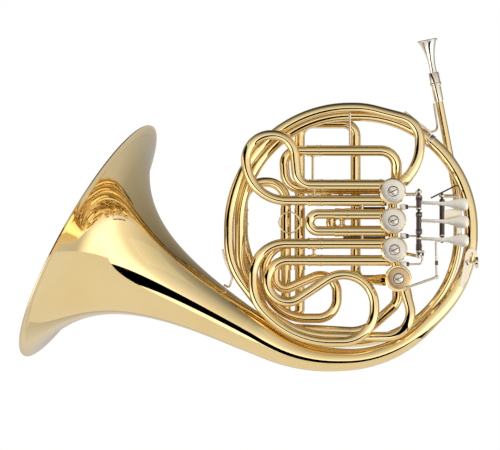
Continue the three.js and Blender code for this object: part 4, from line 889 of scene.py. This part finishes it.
for name, upper, lower, mouth, depth, _ in slide_rows:
    valve = VALVES[int(name[6]) - 1]
    sleeve_to(name + "_upper_sleeve", valve, upper, mouth, depth)
    sleeve_to(name + "_lower_sleeve", valve, lower, mouth, depth)
sleeve_to("upper_tuning_lower_sleeve", VALVES[0], 189, 319, 0)
port_line = route([(396.4, 180, 6), (396.4, 150.7, 0, 16), (319, 150.7, 0)])
port_length = travels(port_line)[-1]
tube("upper_port_tube", port_line, [(0.0, 0.0069), (0.0026, 0.0069), (0.0026, SLEEVE),
     *ferruled(port_length, port_length / 2, SLEEVE)])


def port(name, line, radius):
    """A collar round a run's end, sunk into the casing."""
    way = (line[0] - line[1]).normalized()
    near = piece_of(line, 0.0, 0.008)
    tube(name, [line[0] + way * 0.003, *near], [(t, radius + lift) for t, lift in (
        (0.0, 0.0009), (0.006, 0.0009), (0.006, 0.0005), (0.0107, 0.0005), (0.011, 0.0001))])


port("ring_start_port", ring_line, RING_TUBE)
port("ring_end_port", ring_line[::-1], RING_TUBE)
port("branch_port", branch_line[::-1], BRANCH_END)
port("crown_port", crown_line[::-1], RING_TUBE)
for first, second in zip(VALVES, VALVES[1:]):
    for depth in (F_LAYER, FLAT_LAYER):
        top = place(*first, depth)
        down = place(*second, depth) - top
        rod(f"knuckle_{first[1]:.0f}_{depth}", top + down.normalized() * 0.012, top + down * 0.62, LEG,
            "lacquered_brass", sides=40)
print("casings and sleeves fitted")

# %% [markdown]
# ## Drive discs and screws
# A disc on each rotor's stem carries the crank pin. Its face is satin, as the photograph shows, and the
# change valve's is smaller and browner. A screw holds it: a boolean cuts the slot, a dark strip in the slot
# is painted shade, and a dark ring in the gap round the screw's head is painted shade too.

# %% Turn the discs and the screws
DISC_RADIUS = 0.0142
CHANGE_DISC_RADIUS = 0.0127
DISC_FRONT = -36
# Depth of the dark ring that paints the shade round each screw's head
SHADE_RING_FRONT = -36.1
SCREW_FRONT = -37.9
SLOT_TURN = math.radians(-25)
crank_way = Vector((math.sqrt(0.5), 0, -math.sqrt(0.5)))
PIN_RADIUS = 0.0064
pins = []

for number, (vx, vy) in enumerate(VALVES, 1):
    body = f"rotor_{number}"
    radius = CHANGE_DISC_RADIUS if number == 4 else DISC_RADIUS
    turned(f"disc_{number}_face", place(vx, vy, DISC_FRONT), -FRONT, [
        (0.0012, 0.0064), (0.0, 0.0064), (0.0, radius - 0.0009), (0.0002, radius - 0.0004), (0.0007, radius),
        (0.0026, radius), (0.003, radius - 0.0004)],
        "satin_brass" if number == 4 else "satin_nickel", body, [f"drive_disc_{number}"], sides=96, angle=50)
    rod(f"disc_{number}_stem", place(vx, vy, -33.1), place(vx, vy, -24), 0.0025, "nickel_silver", body)
    pin = place(vx, vy) + crank_way * PIN_RADIUS
    pins.append(pin)
    rod(f"disc_{number}_pin", pin + FRONT * 0.0335, pin + FRONT * 0.0284, 0.0015, "nickel_silver", body)
    screw = turned(f"screw_{number}_head", place(vx, vy, SCREW_FRONT), -FRONT, [
        (0.0, 0.0048), (0.0003, 0.0053), (0.0006, 0.0055), (0.0028, 0.0055)],
        "satin_nickel", body, [f"stem_screw_{number}"], sides=64)
    bpy.ops.mesh.primitive_cube_add(size=1, location=place(vx, vy, SCREW_FRONT), rotation=(0, SLOT_TURN, 0))
    cutter = bpy.context.object
    cutter.scale = (0.02, 0.0016, 0.0012)
    modify(screw, "BOOLEAN", object=cutter, operation="DIFFERENCE")
    only(cutter)
    bpy.ops.object.delete()
    # A dark strip inside the slot is painted shade in the slot's hollow
    shade_strip = place(vx, vy, SCREW_FRONT + 0.45)
    bpy.ops.mesh.primitive_cube_add(size=1, location=shade_strip, rotation=(0, SLOT_TURN, 0))
    bpy.context.object.scale = (0.0098, 0.0006, 0.0014)
    finish_piece(bpy.context.object, f"screw_{number}_slot", "dark_steel", body)
    # A dark ring fills the gap round the screw's head as painted shade in that hollow
    turned(f"screw_{number}_seat", place(vx, vy, SHADE_RING_FRONT), -FRONT, [
        (0.0, 0.0056), (0.0, 0.0063), (0.0006, 0.0063), (0.0006, 0.0056)],
        "dark_steel", body, closed=True, sides=64)
print("discs:", len(VALVES))

# %% [markdown]
# ## Finger levers
# Three levers share one axle beside the valves. Each has a long spoon for a finger, a hub on the axle
# and an arm with the link's pin. A spring wound round the axle lifts the spoon again.

# %% Shape the finger levers
LEVER = -60
LINK = -30
AXLE_PX = 417.5
LEVER_THICK = 0.0018
SPOON_WIDTH = 0.0073
HUB_RADIUS = 0.003
HUB_RING_RADIUS = 0.0033
AXLE_RADIUS = 0.0016
SPRING_WIRE = 0.0004
SPRING_RADIUS = 0.0036
SPRING_TURNS = 5
# Half an arm's width and thickness, the height of its middle over its row, and the depths of its ends
ARM_WIDE = 0.002
ARM_THICK = 0.0008
ARM_RISE = 0.0026
ARM_FRONT = -0.0585
ARM_BACK = -0.0275
# How wide the spoon is, from its stem at 0 to its tip at 1
SPOON_SHARES = [(0.0, 0.29), (0.45, 0.29), (0.6, 0.44), (0.72, 0.72), (0.84, 0.97), (0.9, 1.0),
                (0.95, 0.93), (0.98, 0.72), (0.995, 0.45), (1.0, 0.2)]
# Rows of the stem, the hub and the link's rod, the spoon's tip, and the column of the arm's pin
levers = [
    {"n": 1, "stem": 202.7, "tip": (467.0, 204.9), "hub": (195, 210.5), "rod": 207.0, "pin": 417.5},
    {"n": 2, "stem": 220.5, "tip": (467.4, 222.3), "hub": (212, 235.2), "rod": 236.0, "pin": 417.5},
    {"n": 3, "stem": 238.3, "tip": (467.4, 240.8), "hub": (236, 253.4), "rod": 254.0, "pin": 422.2},
]


def spoon(name, start, end, body):
    """A flat spoon in the picture plane: one edge is extruded along and widened step by step."""
    way = end - start
    bpy.ops.object.select_all(action="DESELECT")
    bpy.ops.mesh.primitive_plane_add(size=1, location=(0, 0, 0))
    piece = bpy.context.object
    bpy.ops.object.mode_set(mode="EDIT")
    bpy.ops.mesh.select_all(action="SELECT")
    bpy.ops.transform.resize(value=(LEVER_THICK, SPOON_WIDTH * 2 * SPOON_SHARES[0][1], 1))
    length = 0.0
    share = SPOON_SHARES[0][1]
    for travel, next_share in SPOON_SHARES[1:]:
        step = travel * way.length - length
        bpy.ops.mesh.extrude_region_move(TRANSFORM_OT_translate={"value": (0, 0, step)})
        bpy.ops.transform.resize(value=(1, next_share / share, 1))
        length = travel * way.length
        share = next_share
    bpy.ops.mesh.select_all(action="SELECT")
    bpy.ops.mesh.normals_make_consistent(inside=False)
    bpy.ops.object.mode_set(mode="OBJECT")
    piece.rotation_euler = way.to_track_quat("Z", "Y").to_euler()
    piece.location = start
    bpy.ops.object.transform_apply(location=True, rotation=True, scale=True)
    modify(piece, "BEVEL", width=0.0004, segments=2)
    return finish_piece(piece, name, "satin_nickel", body)


def spring(name, px, start, end, depth, body):
    """A wire wound round an axle, from one row to another."""
    points = []
    for k in range(SPRING_TURNS * 12 + 1):
        share = k / (SPRING_TURNS * 12)
        angle = k / 12 * 2 * math.pi
        centre = place(px, start + (end - start) * share, depth)
        points.append(centre + Vector((math.cos(angle), math.sin(angle), 0)) * SPRING_RADIUS)
    return tube(name, points, SPRING_WIRE, "dark_steel", body, fine=3)


for lever in levers:
    body = f"lever_{lever['n']}"
    start = place(AXLE_PX, lever["stem"], LEVER)
    spoon(body + "_spoon", start, place(*lever["tip"], LEVER), body)
    hub_top, hub_bottom = lever["hub"]
    for step, share in enumerate((0.13, 0.87)):
        py = hub_top + (hub_bottom - hub_top) * share
        ring_name = f"{body}_hub_ring_{step}"
        upright(ring_name, AXLE_PX, py - 1, py + 1, LEVER, HUB_RING_RADIUS, "nickel_silver", body)
    upright(body + "_hub", AXLE_PX, hub_top, hub_bottom, LEVER, HUB_RADIUS, "dark_steel", body, [body])
    arm_z = place(0, lever["rod"]).z + ARM_RISE
    arm_x = place(lever["pin"], 0).x
    hub_x = place(AXLE_PX, 0).x
    low = (min(hub_x, arm_x) - ARM_WIDE, ARM_FRONT, arm_z - ARM_THICK)
    high = (max(hub_x, arm_x) + ARM_WIDE, ARM_BACK, arm_z + ARM_THICK)
    block(body + "_arm", low, high, "nickel_silver", body)
upright("lever_axle_rod", AXLE_PX, 189, 258, LEVER, AXLE_RADIUS, "dark_steel", stands_for=["lever_axle"])
for n, (top, bottom) in enumerate([(196.5, 200.5), (212.5, 217), (229, 233.5), (244, 250)], 1):
    spring(f"lever_spring_{n}", AXLE_PX + 0.2, top, bottom, LEVER, f"lever_{min(n, 3)}")
print("levers:", len(levers))

# %% [markdown]
# ## Links
# Each link is a rod with a block and a fork: the fork's two prongs hold the crank pin, and the rod's
# other end is pinned to the lever's arm. The thumb's link is longer and runs down to the fourth valve.

# %% Build the links
BLOCKS = [(402.0, 207.0), (402.5, 236.0), (403.0, 264.0)]
BLOCK_HALF = Vector((0.0035, 0.0022, 0.0035))
LINK_ROD = 0.0012
LINK_PIN = 0.0013
PRONG_SIDE = 0.0027
PRONG_DOWN = Vector((0.0009, 0.0012, 0.0065))
PRONG_UP = Vector((0.0009, 0.0012, 0.0012))
THUMB_PX = 442
THUMB_ELBOW = (435.8, 277, LINK)


def fork(body, pin, right):
    """Two prongs round a crank pin, on a base that reaches right to the link."""
    for side in (-1, 1):
        prong = Vector((pin.x + side * PRONG_SIDE, LINK * MM, pin.z))
        block(f"{body}_prong_{side}", prong - PRONG_DOWN, prong + PRONG_UP, "nickel_silver", body)
    low = (pin.x - 0.0036, LINK * MM - 0.0012, pin.z - 0.0075)
    high = (right, LINK * MM + 0.0012, pin.z - 0.0055)
    block(body + "_base", low, high, "nickel_silver", body)


for lever, (bx, by), pin in zip(levers, BLOCKS, pins):
    body = f"link_{lever['n']}"
    centre = place(bx, by, LINK)
    block(body + "_block", centre - BLOCK_HALF, centre + BLOCK_HALF, "satin_nickel", body, [body], 0.0006)
    rod(body + "_nut", centre + RIGHT * 0.0033, centre + RIGHT * 0.0066, 0.0026, "dark_steel", body, sides=6)
    end = place(lever["pin"], lever["rod"], LINK)
    if lever["n"] == 3:
        line = route([(bx, by, LINK), (421.2, by, LINK, 4), (lever["pin"], lever["rod"], LINK)])
    else:
        line = [centre, end]
    tube(body + "_rod", line, LINK_ROD, "nickel_silver", body)
    rod(body + "_pin", end - UP * 0.0022, end + UP * 0.0042, LINK_PIN, "dark_steel", body)
    fork(body, pin, max(pin.x + 0.0036, centre.x - 0.003))

thumb_line = route([
    (THUMB_PX, 237.5, LINK), (THUMB_PX, 241, LINK, 1.4), (435.2, 241, LINK, 1.4), THUMB_ELBOW])
tube("link_4_rod", thumb_line, LINK_ROD, "nickel_silver", "link_4", ["link_4"])
ball("link_4_ball", place(*THUMB_ELBOW), 0.0024, "nickel_silver", "link_4")
upright("link_4_nut", THUMB_ELBOW[0], 260.5, 265, LINK, 0.0021, "dark_steel", "link_4", sides=6)
thumb_pin = pins[3]
arm_end = Vector((thumb_pin.x + 0.004, LINK * MM, thumb_pin.z - 0.0065))
tube("link_4_arm", [place(*THUMB_ELBOW), arm_end], 0.00156, "nickel_silver", "link_4")
pin_line = [place(THUMB_PX, 238.6, LINK), place(THUMB_PX, 233.8, LINK)]
tube("link_4_pin", pin_line, LINK_PIN, "dark_steel", "link_4")
fork("link_4", thumb_pin, thumb_pin.x + 0.0046)
print("links: 4")

# %% [markdown]
# ## Thumb lever
# The fourth lever is a flat plate under the thumb. It turns on its own axle, which stands in a bracket
# on the leadpipe.

# %% Shape the thumb lever
BRACKET_PX = 457
BRACKET_DEPTH = 23.1
BRACKET_ROD = 0.002


def plate(name, outline, front, back, finish, body="horn_body", stands_for=(), edge=0.0004):
    """A flat plate: the outline is drawn as a poly curve, filled, extruded and bevelled."""
    spots = [place(px, py) for px, py in outline]
    curve = poly_curve([(spot.x, spot.z, 0) for spot in spots])
    curve.dimensions = "2D"
    curve.splines[0].use_cyclic_u = True
    curve.fill_mode = "BOTH"
    curve.extrude = (back - front) * MM / 2 - edge
    curve.bevel_depth = edge
    curve.bevel_resolution = 2
    curve.offset = -edge
    bpy.ops.object.convert(target="MESH")
    piece = bpy.context.object
    piece.rotation_euler = (math.pi / 2, 0, 0)
    piece.location = (0, (front + back) * MM / 2, 0)
    return finish_piece(piece, name, finish, body, stands_for)


THUMB_OUTLINE = [
    (442, 211), (442, 220), (449, 220.4), (455.4, 222), (456.5, 225), (456.5, 232), (457.6, 234), (460.4, 234),
    (461.5, 232), (461.5, 211), (460.2, 208.8), (456, 208.4), (449, 209.6)]
plate("thumb_lever_pad", THUMB_OUTLINE, -1.2, 1.2, "nickel_silver", "thumb_lever")
upright("thumb_lever_hub", THUMB_PX, 199, 237, 0, HUB_RADIUS, "dark_steel", "thumb_lever", ["thumb_lever"])
arm_x = place(THUMB_PX, 0).x
arm_z = place(0, 237.5).z + ARM_RISE
low = (arm_x - ARM_WIDE, -0.0325, arm_z - ARM_THICK)
high = (arm_x + ARM_WIDE, 0.0, arm_z + ARM_THICK)
block("thumb_lever_arm", low, high, "nickel_silver", "thumb_lever")
upright("thumb_axle_rod", THUMB_PX, 193, 243, 0, AXLE_RADIUS, "dark_steel", stands_for=["thumb_axle"])
spring("thumb_spring", THUMB_PX, 201, 206, 0, "thumb_lever")
strap = [place(BRACKET_PX, 194, BRACKET_DEPTH), place(BRACKET_PX, 242, BRACKET_DEPTH)]
tube("thumb_bracket_strap", strap, BRACKET_ROD, "nickel_silver", stands_for=["thumb_bracket"])
for py in (196, 240):
    arm = [place(BRACKET_PX, py, BRACKET_DEPTH), place(THUMB_PX, py, 0.5)]
    tube(f"thumb_bracket_arm_{py}", arm, BRACKET_ROD, "nickel_silver")
    eye(f"thumb_bracket_eye_{py}", THUMB_PX, py, 0)
print("thumb lever shaped")

# %% [markdown]
# ## Brackets, braces and the finger hook
# The lever axle hangs in two brackets on the casings. Bent wires join the ring to the bell and to the
# leadpipe, and a rod spans the ring. Thin diamond flanges lie on the slides and the tail, and dark rods lie
# in the gaps between the sleeves. The little finger's hook is set with a thumbscrew, and a wire ring on the
# second slide is there to pull it.

# %% Add the fittings
BRACE_WIRE = 0.0012
DIAMOND_PX = 314
DIAMOND_HALF = 0.6
LUG_PX = 362
LUG_HALF = 4.4

for name, foot, corner, row, eye_row in (("upper", 399, 414.5, 194.5, 192), ("lower", 400, 407.2, 254, 256)):
    line = route([(foot, row, -14), (corner, row, -14, 2.4), (AXLE_PX, eye_row, LEVER)])
    tube(f"axle_bracket_{name}_bar", line, BRACKET_ROD, "nickel_silver", stands_for=[f"axle_bracket_{name}"])
    eye(f"axle_bracket_{name}_eye", AXLE_PX, eye_row, LEVER)

bell_wire = route([
    (222.6, 249, 0), (225.4, 261, 0, 20), (232.4, 277, 4, 4), (229.4, 288, 10, 3), (224, 285, 12.8)])
tube("bell_brace_wire", bell_wire, BRACE_WIRE, "nickel_silver", stands_for=["bell_brace"])
lead_wire = route([(405, 111.8, 0), (431, 132.5, 8, 8), (438.6, 129, 29, 8), (434.6, 103, 33)])
tube("leadpipe_brace_wire", lead_wire, BRACE_WIRE, "nickel_silver", stands_for=["leadpipe_brace"])
rod("ring_rod_bar", place(350, 107.5) - UP * 0.0062, place(350, 150.7) + UP * 0.0066, 0.0013, "nickel_silver",
    stands_for=["ring_rod_brace"])


def diamond(name, centre, along, half_long, half_wide, lift, body="horn_body"):
    """A thin diamond flange in the picture plane."""
    px, py = centre
    long_x, long_y = along[0] * half_long, along[1] * half_long
    wide_x, wide_y = -along[1] * half_wide, along[0] * half_wide
    outline = [(px + long_x, py + long_y), (px + wide_x, py + wide_y),
               (px - long_x, py - long_y), (px - wide_x, py - wide_y)]
    front, back = lift - DIAMOND_HALF, lift + DIAMOND_HALF
    return plate(name, outline, front, back, "lacquered_brass", body, edge=0.0002)


for name, rows in (("valve_1_f_slide", (185, 200.5)), ("valve_3_f_slide", (243.5, 260.4))):
    for row, side in zip(rows, (1, -1)):
        spot = (DIAMOND_PX, row + side * 4.6)
        diamond(f"{name}_diamond_{row:.0f}", spot, (1, 0), 4.2, 1.9, F_LAYER - 1.2, name)
diamond("tail_diamond", (399, 342), (0.94, -0.34), 4.6, 2.0, -2.5)

# Dark rods lie in the gaps between the sleeves, midway between two rows
for name, row, reach in (("first", 207.8, 359), ("second", 237.4, 343)):
    rod(f"{name}_stop_rod", place(385, row, F_LAYER), place(reach, row, F_LAYER), 0.0011, "dark_steel")
    upright(f"{name}_stop_lug", LUG_PX, row - LUG_HALF, row + LUG_HALF, -14, 0.0019, "nickel_silver")
for row in (211, 225):
    turned(f"ring_ferrule_{row}", place(LEAD_LEFT, row, BACK), UP, [
        (0.0, 0.0059), (0.0002, 0.0065), (0.0022, 0.0065), (0.0024, 0.0059)], "lacquered_brass")
rod("thumb_strut", place(431, 198, 0), place(456.5, 185.4, 22), 0.0009, "dark_steel")

HOOK_OUTLINE = [
    (459, 286), (461.5, 274), (463.5, 264), (465, 254), (468, 249), (473, 247.5), (477, 251), (477.2, 257),
    (474.6, 259.5), (474, 255.5), (472.4, 252.6), (470, 253.4), (469.2, 258), (471, 265), (468.6, 277),
    (463.4, 288)]
plate("finger_hook_plate", HOOK_OUTLINE, -2.9, -0.5, "nickel_silver", stands_for=["finger_hook"])
hook_boss = place(467.6, 262.4, -5.4)
boss_half = Vector((0.0016, 0.0042, 0.0032))
block("finger_hook_boss", hook_boss - boss_half, hook_boss + boss_half, "nickel_silver")
turned("thumbscrew_knob", place(465, 262.4, -7.9), RIGHT, [
    (0.0, 0.0014), (0.0004, 0.0016), (0.0095, 0.0016), (0.0115, 0.0052), (0.0119, 0.0066), (0.0145, 0.0066),
    (0.0153, 0.0058)], "nickel_silver", "thumbscrew", ["thumbscrew"], sides=64)

RING_RADIUS = 0.0122
RING_WIRE = 0.0008
ring_middle = place(299.8, 222.5, F_LAYER) - RIGHT * RING_RADIUS
bpy.ops.mesh.primitive_torus_add(major_radius=RING_RADIUS, minor_radius=RING_WIRE, major_segments=72,
                                 minor_segments=14, location=ring_middle, rotation=(math.pi / 2, 0, 0))
finish_piece(bpy.context.object, "pull_ring_wire", "lacquered_brass", "pull_ring", ["pull_ring"])
print("fittings added")

# %% [markdown]
# ## What stays inside
# The rotors turn inside their casings. They keep their plain shapes but get real metal, so that nothing
# in the model is left unfinished.

# %% Finish the hidden rotors and count the pieces
for number in range(1, len(VALVES) + 1):
    for rotor in [o for o in bpy.data.objects if o.type == "MESH" and o.name.startswith(f"rotor_{number}")]:
        rotor.data.materials.clear()
        rotor.data.materials.append(finishes["nickel_silver"])

print("pieces:", len(made_pieces))
